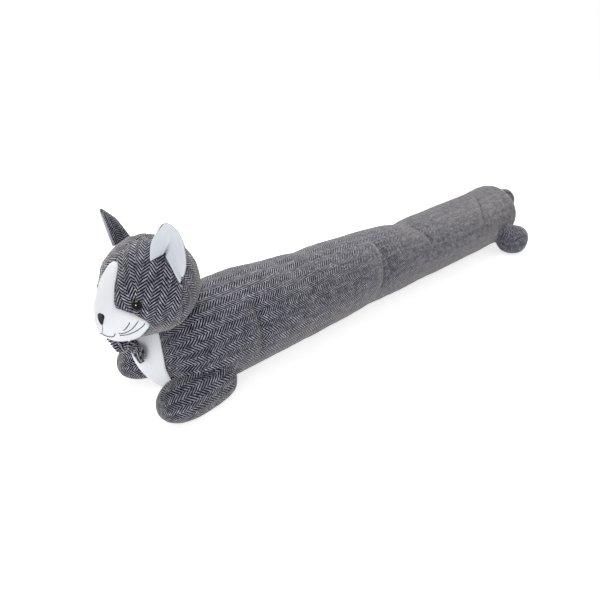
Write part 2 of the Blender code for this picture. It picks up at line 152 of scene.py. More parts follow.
def buildHerringbone(form):
    group, given, out = newGroup(
        "herringboneWeave",
        [
            ("Weave", "NodeSocketVector", None),
            ("Column Width", "NodeSocketFloat", 0.0072),
            ("Line Pitch", "NodeSocketFloat", 0.0038),
            ("Line Slope", "NodeSocketFloat", 1.05),
            ("Line Share", "NodeSocketFloat", 0.38),
            ("Thread Pitch", "NodeSocketFloat", 0.0008),
            ("Wander", "NodeSocketFloat", 0.0010),
        ],
        [("Light Yarn", "NodeSocketFloat"), ("Height", "NodeSocketFloat"), ("Streaks", "NodeSocketFloat")],
    )

    def calc(operation, *values, clamp=False):
        return mathNode(group, operation, *values, clamp=clamp)

    def wandering(scale, place):
        sway = calc("SUBTRACT", noiseNode(group, given["Weave"], scale), 0.5)
        return calc("MULTIPLY_ADD", sway, given["Wander"], place)

    def roundThreads(count):
        return calc("SINE", calc("MULTIPLY", calc("FRACT", count), math.pi))

    parts = group.nodes.new("ShaderNodeSeparateXYZ")
    group.links.new(given["Weave"], parts.inputs[0])
    along = wandering(form["wanderAlong"], parts.outputs["X"])
    across = wandering(form["wanderAcross"], parts.outputs["Y"])
    thread = calc("DIVIDE", across, given["Thread Pitch"])
    step = calc("MULTIPLY", calc("ADD", calc("FLOOR", thread), 0.5), given["Thread Pitch"])
    column = calc("DIVIDE", step, given["Column Width"])
    parity = calc("FLOORED_MODULO", calc("FLOOR", column), 2.0)
    lean = calc("MULTIPLY_ADD", parity, -2.0, 1.0)
    inside = calc("MULTIPLY", calc("SUBTRACT", calc("FRACT", column), 0.5), given["Column Width"])
    rise = calc("MULTIPLY", calc("MULTIPLY", inside, lean), given["Line Slope"])
    phase = calc("DIVIDE", calc("ADD", along, rise), given["Line Pitch"])
    wave = calc("FRACT", calc("MULTIPLY_ADD", parity, form["turnShift"], phase))
    apart = calc("MULTIPLY", calc("ABSOLUTE", calc("SUBTRACT", wave, 0.5)), 2.0)
    thinner = calc("SUBTRACT", given["Line Share"], form["unevenLines"] / 2)
    lineShare = calc("MULTIPLY_ADD", parity, form["unevenLines"], thinner)
    edge = calc("DIVIDE", calc("SUBTRACT", lineShare, apart), form["softEdge"])
    light = calc("ADD", edge, 0.5, clamp=True)
    weft = roundThreads(calc("DIVIDE", along, given["Thread Pitch"]))
    crown = calc("MULTIPLY_ADD", apart, form["crown"], 1.0)
    warpHeight = calc("MULTIPLY", calc("MULTIPLY", light, roundThreads(thread)), crown)
    weftHeight = calc("MULTIPLY", calc("MULTIPLY", calc("SUBTRACT", 1.0, light), weft), form["weftHeight"])
    stretch = group.nodes.new("ShaderNodeVectorMath")
    stretch.operation = "MULTIPLY"
    stretch.inputs[1].default_value = form["streakStretch"]
    group.links.new(given["Weave"], stretch.inputs[0])
    group.links.new(noiseNode(group, stretch.outputs[0], form["streakScale"]), out["Streaks"])
    group.links.new(light, out["Light Yarn"])
    group.links.new(calc("ADD", warpHeight, weftHeight), out["Height"])
    return group


# Short fuzz and slow unevenness that both cloths share

def buildClothVariation():
    group, given, out = newGroup(
        "clothVariation",
        [
            ("Fuzz Scale", "NodeSocketFloat", 1400.0),
            ("Slub Scale", "NodeSocketFloat", 250.0),
            ("Patch Scale", "NodeSocketFloat", 28.0),
        ],
        [("Fuzz", "NodeSocketFloat"), ("Slubs", "NodeSocketFloat"), ("Patches", "NodeSocketFloat")],
    )
    place = group.nodes.new("ShaderNodeTexCoord").outputs["Object"]
    for label, scale, detail, rough in (
        ("Fuzz", "Fuzz Scale", 3.0, 0.7),
        ("Slubs", "Slub Scale", 2.0, 0.6),
        ("Patches", "Patch Scale", 4.0, 0.55),
    ):
        node = group.nodes.new("ShaderNodeTexNoise")
        setSockets(node, Detail=detail, Roughness=rough)
        group.links.new(place, node.inputs["Vector"])
        group.links.new(given[scale], node.inputs["Scale"])
        group.links.new(node.outputs["Fac"], out[label])
    return group


herringboneGroup = buildHerringbone(herringbone)
variationGroup = buildClothVariation()


def startMaterial(name):
    material = bpy.data.materials.new(name)
    material.use_nodes = True
    return material, material.node_tree, material.node_tree.nodes["Principled BSDF"]


def placeGroup(tree, group, **values):
    node = tree.nodes.new("ShaderNodeGroup")
    node.node_tree = group
    setSockets(node, **values)
    return node


def bumpNode(tree, height, distance, strength):
    node = tree.nodes.new("ShaderNodeBump")
    setSockets(node, Distance=distance, Strength=strength)
    tree.links.new(height, node.inputs["Height"])
    return node.outputs["Normal"]


# Tweed

tweedLook = {
    "darkYarn": (0.0055, 0.0070, 0.0270),
    "lightYarn": (0.325, 0.328, 0.370),
    "roughness": 0.9,
    "sheen": 0.60,
    "sheenRoughness": 0.36,
    "sheenTint": (1.0, 0.96, 0.91, 1.0),
    "relief": 0.0005,
    "slubs": (2.8, -0.4),
    "streaks": (1.8, 0.1),
    "patches": (2.3, -0.15),
    "creaseShade": -0.55,
}


def makeTweed(name, look, **weaving):
    material, tree, shader = startMaterial(name)
    weave = placeGroup(tree, herringboneGroup, **weaving)
    tree.links.new(readAttribute(tree, "weave", "Vector"), weave.inputs["Weave"])
    cloth = placeGroup(tree, variationGroup, Fuzz_Scale=1700.0, Slub_Scale=300.0, Patch_Scale=220.0)
    slub = mathNode(tree, "MULTIPLY_ADD", cloth.outputs["Slubs"], *look["slubs"])
    streak = mathNode(tree, "MULTIPLY_ADD", weave.outputs["Streaks"], *look["streaks"])
    yarn = mixColour(tree, 1.0, look["lightYarn"], mathNode(tree, "MULTIPLY", slub, streak), "MULTIPLY")
    patch = mathNode(tree, "MULTIPLY_ADD", cloth.outputs["Patches"], *look["patches"])
    colour = mixColour(tree, weave.outputs["Light Yarn"], look["darkYarn"], yarn)
    # painted shade: the colour darkens in a narrow crease, where no light gets down
    paintedCreaseShade = mathNode(tree, "MULTIPLY_ADD", readAttribute(tree, "crease", "Fac"), look["creaseShade"], 1.0)
    colour = mixColour(tree, 1.0, colour, mathNode(tree, "MULTIPLY", patch, paintedCreaseShade), "MULTIPLY")
    tree.links.new(colour, shader.inputs["Base Color"])
    height = mathNode(tree, "MULTIPLY_ADD", cloth.outputs["Fuzz"], 0.5, weave.outputs["Height"])
    tree.links.new(bumpNode(tree, height, look["relief"], 0.7), shader.inputs["Normal"])
    setSockets(
        shader,
        Roughness=look["roughness"],
        Specular_IOR_Level=0.08,
        Sheen_Weight=look["sheen"],
        Sheen_Roughness=look["sheenRoughness"],
        Sheen_Tint=look["sheenTint"],
    )
    return material


tweed = makeTweed("herringboneTweed", tweedLook, Wander=0.0015)
bowTweed = makeTweed(
    "bowTweed", tweedLook, Column_Width=0.0075, Line_Slope=0.45, Line_Pitch=0.0033, Wander=0.0008
)


# Fleece

fleeceLook = {
    "colour": (0.755, 0.780, 0.825),
    "shade": (0.665, 0.70, 0.76),
    "roughness": 0.95,
    "sheen": 0.20,
    "relief": 0.0004,
}
# a darker copy of the white fleece for the ear linings: painted shade for the hollow of the ear
shadedEarLook = {**fleeceLook, "colour": (0.665, 0.695, 0.745), "shade": (0.54, 0.585, 0.675)}


def makeFleece(name, look):
    material, tree, shader = startMaterial(name)
    cloth = placeGroup(tree, variationGroup, Fuzz_Scale=1500.0, Patch_Scale=60.0)
    patches = cloth.outputs["Patches"]
    colour = mixColour(tree, 0.6, mixColour(tree, patches, look["shade"], look["colour"]), look["colour"])
    tree.links.new(colour, shader.inputs["Base Color"])
    height = mathNode(tree, "ADD", cloth.outputs["Fuzz"], mathNode(tree, "MULTIPLY", patches, 0.8))
    tree.links.new(bumpNode(tree, height, look["relief"], 0.35), shader.inputs["Normal"])
    setSockets(shader, Roughness=look["roughness"], Specular_IOR_Level=0.2)
    setSockets(shader, Sheen_Weight=look["sheen"], Sheen_Roughness=0.5)
    return material


fleece = makeFleece("whiteFleece", fleeceLook)
shadedEarFleece = makeFleece("shadedEarFleece", shadedEarLook)


# Thread and eyes

def makeThread(name, colour, scale):
    material, tree, shader = startMaterial(name)
    wave = tree.nodes.new("ShaderNodeTexWave")
    setSockets(wave, Scale=scale, Distortion=1.5, Detail=1.0)
    tree.links.new(readAttribute(tree, "weave", "Vector"), wave.inputs["Vector"])
    bright = tuple(3 * part for part in colour)
    tree.links.new(mixColour(tree, wave.outputs["Fac"], colour, bright), shader.inputs["Base Color"])
    tree.links.new(bumpNode(tree, wave.outputs["Fac"], 0.0004, 0.8), shader.inputs["Normal"])
    setSockets(shader, Roughness=0.55, Sheen_Weight=0.15)
    return material


def makeEyeGloss(name):
    material, tree, shader = startMaterial(name)
    patches = placeGroup(tree, variationGroup, Fuzz_Scale=900.0, Patch_Scale=300.0).outputs["Patches"]
    tree.links.new(mathNode(tree, "MULTIPLY_ADD", patches, 0.06, 0.03), shader.inputs["Roughness"])
    setSockets(shader, Base_Color=(0.004, 0.004, 0.005, 1.0), Specular_IOR_Level=1.0)
    setSockets(shader, Coat_Weight=1.0, Coat_Roughness=0.04)
    return material


blackThread = makeThread("blackThread", (0.006, 0.006, 0.008), 320.0)
eyeGloss = makeEyeGloss("eyeGloss")
print("materials ready")


# Mesh helpers

def writeWeave(mesh, values):  # u, v for each corner in face order
    flat = np.zeros((len(values), 3), np.float32)
    flat[:, :2] = values
    mesh.attributes.new("weave", "FLOAT_VECTOR", "CORNER").data.foreach_set("vector", flat.ravel())


def meshPiece(name, points, faces, material, weave=None):
    mesh = bpy.data.meshes.new(name)
    mesh.from_pydata([tuple(point) for point in points], [], [tuple(int(i) for i in face) for face in faces])
    if weave is not None:
        writeWeave(mesh, weave)
    mesh.materials.append(material)
    mesh.shade_smooth()
    mesh.update()
    return addObject(name, mesh)


def settle(piece, slotName, *nodes):
    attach(piece, "root")
    if nodes:
        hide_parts(*nodes)
    return piece


def gridFaces(rows, columns, closed=False):
    faces = []
    for row in range(rows - 1):
        for column in range(columns if closed else columns - 1):
            here, after = row * columns + column, row * columns + (column + 1) % columns
            faces.append((here, after, after + columns, here + columns))
    return faces


def tubeFaces(rings, around):  # a fan closes each end, and the two tips are the last points
    last = (rings - 1) * around
    start = [(rings * around, (i + 1) % around, i) for i in range(around)]
    end = [(rings * around + 1, last + i, last + (i + 1) % around) for i in range(around)]
    return gridFaces(rings, around, True) + start + end


def circle(count):
    return [2 * math.pi * step / count for step in range(count)]


# Catmull-Rom curve through one column of a table whose first column is the place
def smoothTable(rows, places, column):
    table = np.array(rows, float)
    knots, values = table[:, 0], table[:, column]
    places = np.clip(places, knots[0], knots[-1])
    index = np.clip(np.searchsorted(knots, places, side="right") - 1, 0, len(knots) - 2)
    before, after = np.maximum(index - 1, 0), np.minimum(index + 2, len(knots) - 1)
    span = knots[index + 1] - knots[index]
    share = (places - knots[index]) / span
    slopeIn = (values[index + 1] - values[before]) / (knots[index + 1] - knots[before]) * span
    slopeOut = (values[after] - values[index]) / (knots[after] - knots[index]) * span
    square, cube = share**2, share**3
    return (
        (2 * cube - 3 * square + 1) * values[index]
        + (cube - 2 * square + share) * slopeIn
        + (3 * square - 2 * cube) * values[index + 1]
        + (cube - square) * slopeOut
    )


def smoothPath(rows, places):
    return np.stack([smoothTable(rows, places, column) for column in (1, 2, 3)], axis=-1)


def unit(vectors):
    return vectors / np.maximum(np.linalg.norm(vectors, axis=-1, keepdims=True), 1e-12)


def spinAbout(axis, degrees):
    turn = math.radians(degrees)
    a, b = {"X": (1, 2), "Z": (0, 1)}[axis]
    matrix = np.eye(3)
    matrix[a, a] = matrix[b, b] = math.cos(turn)
    matrix[a, b], matrix[b, a] = -math.sin(turn), math.sin(turn)
    return matrix


def angleFrom(way, middle):
    return np.arccos(np.clip(way @ middle, -1, 1))


def bell(distance, width, power=2):
    return np.exp(-((distance / width) ** power))


def relief(distance, rows):  # rows: height, distance of its middle, width, power
    return sum(height * bell(distance - away, width, power) for height, away, width, power in rows)


def quarterRound(share):
    return np.sqrt(np.clip(1 - (1 - np.clip(share, 0, 1)) ** 2, 0, 1))


def panelLift(edge, spec):  # a panel that rounds off into the seam at its edge
    return -spec["sink"] + (spec["rise"] + spec["sink"]) * quarterRound(edge / spec["edge"])


def lumps(points, size, seed):  # smooth noise from -1 to 1, bumps about that size across
    shift = Vector((seed, seed * 0.7, -seed))
    return np.array([noise.noise(Vector(point) / size + shift) for point in points])


def nearestDistance(points, line):
    tree = KDTree(len(line))
    for index, point in enumerate(line):
        tree.insert(Vector(point), index)
    tree.balance()
    return np.array([tree.find(Vector(point))[2] for point in points])


def closedSheet(outer, inner, rows, columns):  # the two sides are joined round the rim
    points = np.concatenate([outer.reshape(-1, 3), inner.reshape(-1, 3)])
    count = rows * columns
    faces = gridFaces(rows, columns)
    back = [tuple(count + i for i in face[::-1]) for face in faces]
    index = np.arange(count).reshape(rows, columns)
    ring = np.concatenate([index[0], index[1:, -1], index[-1, -2::-1], index[-2:0:-1, 0]]).tolist()
    side = [(second, first, count + first, count + second) for first, second in zip(ring, ring[1:] + ring[:1])]
    return points, faces + back + side


def cornerValues(faces, values):
    return values[[i for face in faces for i in face]]


def fixNormals(piece):
    shape = bmesh.new()
    shape.from_mesh(piece.data)
    bmesh.ops.recalc_face_normals(shape, faces=shape.faces[:])
    shape.to_mesh(piece.data)
    shape.free()


# Head

headForm = {
    "centre": np.array((chestX + 0.0265, 0.0, 0.139)),
    "radius": 0.0535,
    "turn": 4.5,
    "columns": 240,
    "rows": 130,
    "swells": (  # longitude, latitude, share of the radius, spread in degrees
        (0.0, -12.0, 0.060, 26.0),
        (-8.0, -37.0, 0.225, 27.0),
        (-15.0, -43.0, 0.050, 15.0),
        (0.0, -80.0, -0.050, 34.0),
        (0.0, 30.0, -0.050, 34.0),
        (39.8, 2.6, -0.030, 12.0),
        (-39.8, 2.6, -0.050, 16.0),
        (180.0, -45.0, -0.130, 60.0),
        (180.0, 20.0, 0.020, 40.0),
    ),
    "panels": (  # longitude of the middle, latitude, lean of the columns in degrees
        ("front", 24.0, 12.0, 22.0),
        ("side", 64.0, 8.0, -20.0),
        ("back", 150.0, 15.0, 8.0),
    ),
    "earSeam": 90.0,
    "earSeamRelief": ((-0.0011, 0.0, 0.0016, 2), (0.0008, 0.006, 0.004, 2)),  # height, distance, width, power
    "crownFrom": 46.0,
    "crownRelief": ((-0.0006, 0.0, 0.0014, 2),),
    "faceRelief": ((-0.0011, 0.0, 0.0018, 2),),
    "dartFrom": 39.0,
    "dartHeight": 20,
    "dartLean": 0.10,
    "dartReach": 15,
    "dartRelief": ((-0.0016, 0.0, 0.0035, 2), (0.0008, 0.007, 0.004, 2)),
    "eyeSeat": (39.8, 1.6),
    "eyeRelief": ((-0.0011, 0.0, 0.0062, 4), (0.0005, 0.0095, 0.003, 2)),
    "lumps": ((0.0006, 0.022, 3.0), (0.00025, 0.007, 8.0)),  # height, size, seed
}
headSpin = spinAbout("Z", headForm["turn"])


def ways(longitude, latitude):
    lon, lat = np.radians(longitude), np.radians(latitude)
    return np.stack([-np.cos(lat) * np.cos(lon), -np.cos(lat) * np.sin(lon), np.sin(lat) + 0 * lon], axis=-1)


def headReach(way):
    reach = np.ones(way.shape[:-1])
    for longitude, latitude, share, spread in headForm["swells"]:
        reach = reach + share * bell(np.degrees(angleFrom(way, ways(longitude, latitude))), spread)
    return headForm["radius"] * reach


def headToWorld(points):
    return points @ headSpin.T + headForm["centre"]


def headFromWorld(points):
    return (points - headForm["centre"]) @ headSpin


def onHead(longitude, latitude, grow=0.0):
    way = ways(longitude, latitude)
    return way * (headReach(way) + grow)[..., None]


# flat coordinates of a cloth panel wrapped on the head: u up the columns, v across
def panelWeave(way, longitude, latitude, lean):
    middle = ways(longitude, latitude)
    up = unit(np.array((0.0, 0.0, 1.0)) - middle * middle[2])
    side = np.cross(middle, up)
    apart = angleFrom(way, middle)
    scale = headForm["radius"] * apart / np.maximum(np.sin(apart), 1e-6)
    rise, across = (way @ up) * scale, (way @ side) * scale
    cosine, sine = math.cos(math.radians(lean)), math.sin(math.radians(lean))
    return np.stack([rise * cosine + across * sine, across * cosine - rise * sine], axis=-1)


faceEdges = (  # longitude, latitude of the upper edge and of the lower edge
    (0.0, 46.0, -52.0),
    (4.5, 45.0, -52.0),
    (9.0, 41.5, -51.9),
    (12.0, 34.5, -51.8),
    (14.4, 24.0, -51.7),
    (15.4, 8.0, -51.6),
    (17.0, -0.5, -51.5),
    (23.0, -3.5, -50.5),
    (32.0, -7.5, -46.0),
    (40.0, -12.5, -38.6),
    (46.0, -18.0, -31.6),
    (48.2, -21.0, -28.6),
    (49.2, -24.0, -25.4),
)


def panelEdges(table, count):  # places across, with the upper and the lower edge there
    place = table[-1][0] * np.sin(np.linspace(-math.pi / 2, math.pi / 2, count))
    return place, smoothTable(table, np.abs(place), 1), smoothTable(table, np.abs(place), 2)


def faceOutline():
    place, top, bottom = panelEdges(faceEdges, 60)
    upper, lower = onHead(place, top), onHead(place, bottom)
    last, top, bottom = faceEdges[-1]
    ends = [onHead(np.full(6, side * last), np.linspace(top, bottom, 6)) for side in (-1, 1)]
    steps = np.linspace(0, 1, 9)[1:, None]
    fine = [upper[0:1]]
    for line in (upper, lower):
        for first, second in zip(line, line[1:]):
            fine.append(first + (second - first) * steps)
    return np.concatenate(fine + ends)


faceRim = faceOutline()


def buildHead(form):
    columns, rows, radius = form["columns"], form["rows"], form["radius"]
    lon = np.linspace(-180, 180, columns, endpoint=False)
    lat = np.linspace(90, -90, rows + 2)[1:-1]
    way = np.concatenate([ways(*np.meshgrid(lon, lat)).reshape(-1, 3), [(0, 0, 1), (0, 0, -1)]])
    longitude = np.degrees(np.arctan2(-way[:, 1], -way[:, 0]))
    latitude = np.degrees(np.arcsin(np.clip(way[:, 2], -1, 1)))
    flat = np.cos(np.radians(latitude))
    local = way * headReach(way)[:, None]
    # seams: round the head behind the ears, along the crown, and round the face panel
    seam = np.radians(np.abs(np.abs(longitude) - form["earSeam"])) * flat * radius
    push = relief(seam, form["earSeamRelief"])
    crown = np.radians(np.abs(longitude)) * flat * radius
    push += np.where(latitude > form["crownFrom"], relief(crown, form["crownRelief"]), 0.0)
    push += relief(nearestDistance(local, faceRim), form["faceRelief"])
    # a soft dart from each eye up toward the ear, with puckers beside it
    height = latitude - form["dartHeight"]
    for side in (-1, 1):
        off = np.radians(longitude * side - (form["dartFrom"] + form["dartLean"] * height)) * flat * radius
        push += bell(height, form["dartReach"], 4) * relief(off, form["dartRelief"])
        seat = ways(side * form["eyeSeat"][0], form["eyeSeat"][1])
        push += relief(angleFrom(way, seat) * radius, form["eyeRelief"])
    push += sum(high * lumps(local, size, seed) for high, size, seed in form["lumps"])
    points = headToWorld(local + way * push[:, None])
    # each face takes the cloth panel that it lies in
    charts = {}
    for side in (-1, 1):
        for name, middle, height, lean in form["panels"]:
            charts[name, side] = panelWeave(way * np.array((1, side, 1)), middle, height, lean)
    faces, corners = [], []
    for face in tubeFaces(rows, columns):
        middle = way[list(face)].mean(0)
        side = -1 if middle[1] > 0 else 1
        angle = math.degrees(math.atan2(-middle[1] * side, -middle[0]))
        name = "front" if angle < form["dartFrom"] else "side" if angle < form["earSeam"] else "back"
        faces.append(face[::-1])
        corners.append(charts[name, side][list(face[::-1])])
    piece = meshPiece("headTweed", points, faces, tweed, np.concatenate(corners))
    settle(piece, "herringbone_tweed", "head")


buildHead(headForm)
print("head ready")


# Face panel, sunk at its edge into the seam

facePanel = {
    "columns": 110,
    "rows": 80,
    "rise": 0.0019,
    "sink": 0.0009,
    "edge": 0.0042,
    "thickness": 0.0009,
    "cheeks": (  # longitude, latitude, height, spread: beside the mouth, and the dip under the nose
        (12, -27, 0.0012, 12),
        (-12, -27, 0.0012, 12),
        (0, -24, -0.0012, 5),
        (0, -34, -0.0008, 7),
    ),
    "cheekEdge": 0.006,
    "lumpEdge": 0.004,
}


def buildFacePanel(spec):
    columns, rows = spec["columns"], spec["rows"]
    place, upper, lower = panelEdges(faceEdges, columns)
    share = (1 - np.cos(np.linspace(0, math.pi, rows))) / 2
    latitude = lower[None, :] + (upper - lower)[None, :] * share[:, None]
    base = onHead(np.broadcast_to(place[None, :], latitude.shape), latitude).reshape(-1, 3)
    out = unit(base)
    edge = nearestDistance(base, faceRim)
    lift = panelLift(edge, spec)
    for lon, lat, high, spread in spec["cheeks"]:
        apart = np.degrees(angleFrom(out, ways(lon, lat)))
        lift += high * bell(apart, spread) * np.clip(edge / spec["cheekEdge"], 0, 1)
    lift += (0.0003 * lumps(base, 0.012, 5.0)) * np.clip(edge / spec["lumpEdge"], 0, 1)
    outer, inner = (headToWorld(base + out * (lift - deep)[:, None]) for deep in (0, spec["thickness"]))
    points, faces = closedSheet(outer, inner, rows, columns)
    piece = meshPiece("facePanel", points, faces, fleece)
    settle(piece, "white_fleece", "face_panel")
    return piece


face = buildFacePanel(facePanel)


# Nose, mouth, whiskers and the stitch under the nose

embroidery = {
    "noseEdges": ((0.0, -8.6, -19.4), (1.3, -8.7, -18.2), (2.9, -8.9, -14.8), (4.3, -9.8, -11.8)),
    "noseMiddle": 2.0,
    "noseRise": 0.0016,
    "noseColumns": 26,
    "noseRows": 20,
    "threadRadius": 0.00042,
    "stitch": ((1.8, -18.8), (0.6, -22.4), (-1.4, -25.8), (-4.0, -29.2)),
    "mouthMiddle": -4.0,
    "mouth": ((0.0, -29.2), (3.0, -30.9), (7.6, -32.0), (12.6, -31.3), (15.8, -29.4), (17.4, -27.0)),
    "whiskers": (  # name, longitude and latitude of the points
        ("whiskerShort", ((21.6, -25.6), (24.6, -23.6), (27.4, -21.0), (29.4, -18.6), (31.0, -15.8))),
        (
            "whiskerMiddle",
            ((17.0, -27.2), (19.0, -28.3), (23.4, -28.2), (29.0, -26.0), (33.4, -22.6), (37.0, -18.4), (40.2, -14.6)),
        ),
        (
            "whiskerLong",
            ((16.6, -29.6), (19.0, -31.0), (26.0, -31.2), (34.0, -28.6), (40.2, -24.6), (43.6, -21.6), (45.6, -19.2)),
        ),
    ),
}


def faceSurface():
    bpy.context.view_layer.update()
    return BVHTree.FromObject(face, bpy.context.evaluated_depsgraph_get())


def onFace(tree, longitude, latitude, lift):  # on the finished face panel
    way = headToWorld(ways(longitude, latitude)) - headForm["centre"]
    start = Vector(headForm["centre"] + way * 0.12)
    hit = tree.ray_cast(start, Vector(-way))[0]
    return np.array(hit) + way * lift


threadForm = {"around": 8, "steps": 6, "thinEnd": 0.35, "uneven": 0.12, "dive": 0.0004}


# a sewn thread, thin at both ends where it dives into the cloth
def threadTube(name, line, radius):
    count, around = threadForm["steps"] * (len(line) - 1) + 1, threadForm["around"]
    rows = [(index, *point) for index, point in enumerate(line)]
    path = smoothPath(rows, np.linspace(0, len(line) - 1, count))
    outward = unit(path - headForm["centre"])
    side = np.cross(unit(np.gradient(path, axis=0)), outward)
    thin = threadForm["thinEnd"]
    points = []
    for index in range(count):
        share = min(index, count - 1 - index) / 2
        size = radius * min(thin + (1 - thin) * share, 1.0) * (1 + threadForm["uneven"] * math.sin(index * 2.1))
        middle = path[index] - outward[index] * (threadForm["dive"] * max(1 - share, 0.0))
        for angle in circle(around):
            points.append(middle + size * (side[index] * math.cos(angle) + outward[index] * math.sin(angle)))
    points += [path[0], path[-1]]
    faces = tubeFaces(count, around)
    length = np.append(np.repeat(np.arange(count) * 0.001, around), [0.0, 0.0])
    values = np.stack([length, length * 0.6], axis=-1)
    piece = meshPiece(name, np.array(points), faces, blackThread, cornerValues(faces, values))
    return settle(piece, "black_thread")


def buildNose(tree, spec):
    columns, rows = spec["noseColumns"], spec["noseRows"]
    place, upper, lower = panelEdges(spec["noseEdges"], columns)
    last = spec["noseEdges"][-1][0]
    outer, inner, values = [], [], []
    for row in range(rows):
        share = row / (rows - 1)
        rim = 1 - min(share, 1 - share) * 2
        for column in range(columns):
            longitude = spec["noseMiddle"] + place[column]
            latitude = lower[column] + (upper[column] - lower[column]) * share
            crown = math.sqrt(max(1 - rim**2, 0.0)) * math.sqrt(max(1 - (place[column] / last) ** 4, 0.0))
            outer.append(onFace(tree, longitude, latitude, 0.0002 + spec["noseRise"] * crown))
            inner.append(onFace(tree, longitude, latitude, 0.0001))
            values.append((share * 0.0016, longitude * 0.001))
    points, faces = closedSheet(np.array(outer), np.array(inner), rows, columns)
    weave = cornerValues(faces, np.array(values + values))[:, ::-1]
    settle(meshPiece("noseStitch", points, faces, blackThread, weave), "black_thread", "nose")


def buildEmbroidery(spec):
    tree = faceSurface()
    buildNose(tree, spec)
    stitch = [onFace(tree, longitude, latitude, 0.0002) for longitude, latitude in spec["stitch"]]
    threadTube("noseToMouth", stitch, spec["threadRadius"] * 0.55)
    lines = [("mouth", spec["mouthMiddle"], spec["mouth"])] + [(name, 0, line) for name, line in spec["whiskers"]]
    for label, side in (("Left", 1), ("Right", -1)):
        for name, middle, line in lines:
            points = [onFace(tree, middle + longitude * side, latitude, 0.0003) for longitude, latitude in line]
            threadTube(name + label, points, spec["threadRadius"])


def buildEarStitches(places):
    for label, side in (("Left", 1), ("Right", -1)):
        for number, (longitude, latitude, length) in enumerate(places):
            line = []
            for share, lift in ((-1.0, -0.0002), (-0.4, 0.0007), (0.4, 0.0007), (1.0, -0.0002)):
                ends = (longitude + length * share) * side, latitude - 0.5 * length * share
                line.append(headToWorld(onHead(*ends, lift)))
            piece = threadTube(f"earStitch{label}{number}", line, 0.0004)
            piece.data.materials.clear()
            piece.data.materials.append(fleece)


buildEmbroidery(embroidery)
buildEarStitches(((89.5, 15.2, 1.5), (90.3, 13.2, 1.3)))
print("face ready")


# Eyes

eyes = {
    "radius": 0.0050,
    "height": 0.0038,
    "places": {1: (39.8, 1.4, 0.0008), -1: (-41.5, 1.4, -0.0004)},
    "rings": 14,
    "segments": 40,
    "turn": 118,
}


def buildEye(name, side, spec, node):
    longitude, latitude, seat = spec["places"][side]
    rings, segments, height = spec["rings"], spec["segments"], spec["height"]
    way = ways(longitude, latitude)
    centre = way * (headReach(way) + seat)
    across = unit(np.cross(way, (0, 0, 1)))
    up = np.cross(across, way)
    points = [centre + way * height]
    for ring in range(1, rings + 1):
        turn = math.radians(spec["turn"]) * ring / rings
        out = spec["radius"] * math.sin(turn)
        for angle in circle(segments):
            flat = across * out * math.cos(angle) + up * out * math.sin(angle)
            points.append(centre + flat + way * height * math.cos(turn))
    points.append(centre - way * height * 0.47)
    last = 1 + (rings - 1) * segments
    faces = [tuple(1 + i for i in face)[::-1] for face in gridFaces(rings, segments, True)]
    faces += [(0, 1 + i, 1 + (i + 1) % segments) for i in range(segments)]
    faces += [(len(points) - 1, last + (i + 1) % segments, last + i) for i in range(segments)]
    piece = meshPiece(name, headToWorld(np.array(points)), faces, eyeGloss)
    fixNormals(piece)
    settle(piece, "eye_black", node)


buildEye("eyeLeft", 1, eyes, "eye_left")
buildEye("eyeRight", -1, eyes, "eye_right")
print("eyes ready")


# Ears: a white lining and a tweed back, joined at the rim, cupped and pinched at the foot

earForm = {
    "foot": (  # longitude, latitude
        (60.5, 47.6),
        (69.0, 50.5),
        (79.0, 53.0),
        (86.5, 52.5),
        (86.0, 43.3),
        (86.0, 33.9),
        (87.0, 24.5),
        (88.5, 18.1),
    ),
    "pinchAt": 3,
    "pinch": (0.0044, 0.085, 0.22),  # depth, width, height
    "roll": (0.0026, 0.13, 0.06),  # depth, height of its middle, half height
    "lumps": (0.012, 4.0),
    "seam": 0.0003,
    "backShort": 3,
    "seat": 0.0012,
    "tipHalfWidth": 0.0120,
    "tipRound": 0.8,
    "frontBulge": 0.0050,
    "backBulge": 0.0050,
    "cup": 0.0060,
    "puff": 0.0016,
    "columns": 57,
    "rows": 44,
    "tips": (("Left", 1, (-0.0015, -0.0495, 0.0740)), ("Right", -1, (-0.0140, -0.0495, 0.0745))),
}


def earGrid(tip, spec):
    last = len(spec["foot"]) - 1
    place = np.linspace(0, last, spec["columns"])
    foot = np.array(spec["foot"])
    lon = np.interp(place, np.arange(last + 1), foot[:, 0])
    lat = np.interp(place, np.arange(last + 1), foot[:, 1])
    base = onHead(lon, lat, spec["seat"])
    across = unit(base[-1] - base[0])
    spread = 2 * place / last - 1
    rise = np.linspace(0, 1, spec["rows"])[:, None]
    drop = (1 - np.sqrt(np.clip(1 - spread**2, 0, 1))) * spec["tipHalfWidth"] * spec["tipRound"]
    top = np.array(tip) + across * (spread * spec["tipHalfWidth"])[:, None]
    top = top - np.array((0, 0, 1)) * drop[:, None]
    bulge = np.where(spread > 0, spec["backBulge"], spec["frontBulge"])
    wave = np.sin(math.pi * rise)
    grid = base[None] * (1 - rise[..., None]) + top[None] * rise[..., None]
    grid = grid + across * (wave * (spread * bulge)[None, :])[..., None]
    grid = grid + np.array((1.0, 0, 0)) * (spec["cup"] * wave * (1 - spread**2)[None, :])[..., None]
    return grid, spread, rise


def gridNormals(grid):  # toward the front
    normals = unit(np.cross(np.gradient(grid, axis=1), np.gradient(grid, axis=0)))
    middle = normals[grid.shape[0] // 2, grid.shape[1] // 2]
    return -normals if middle[0] > 0 else normals


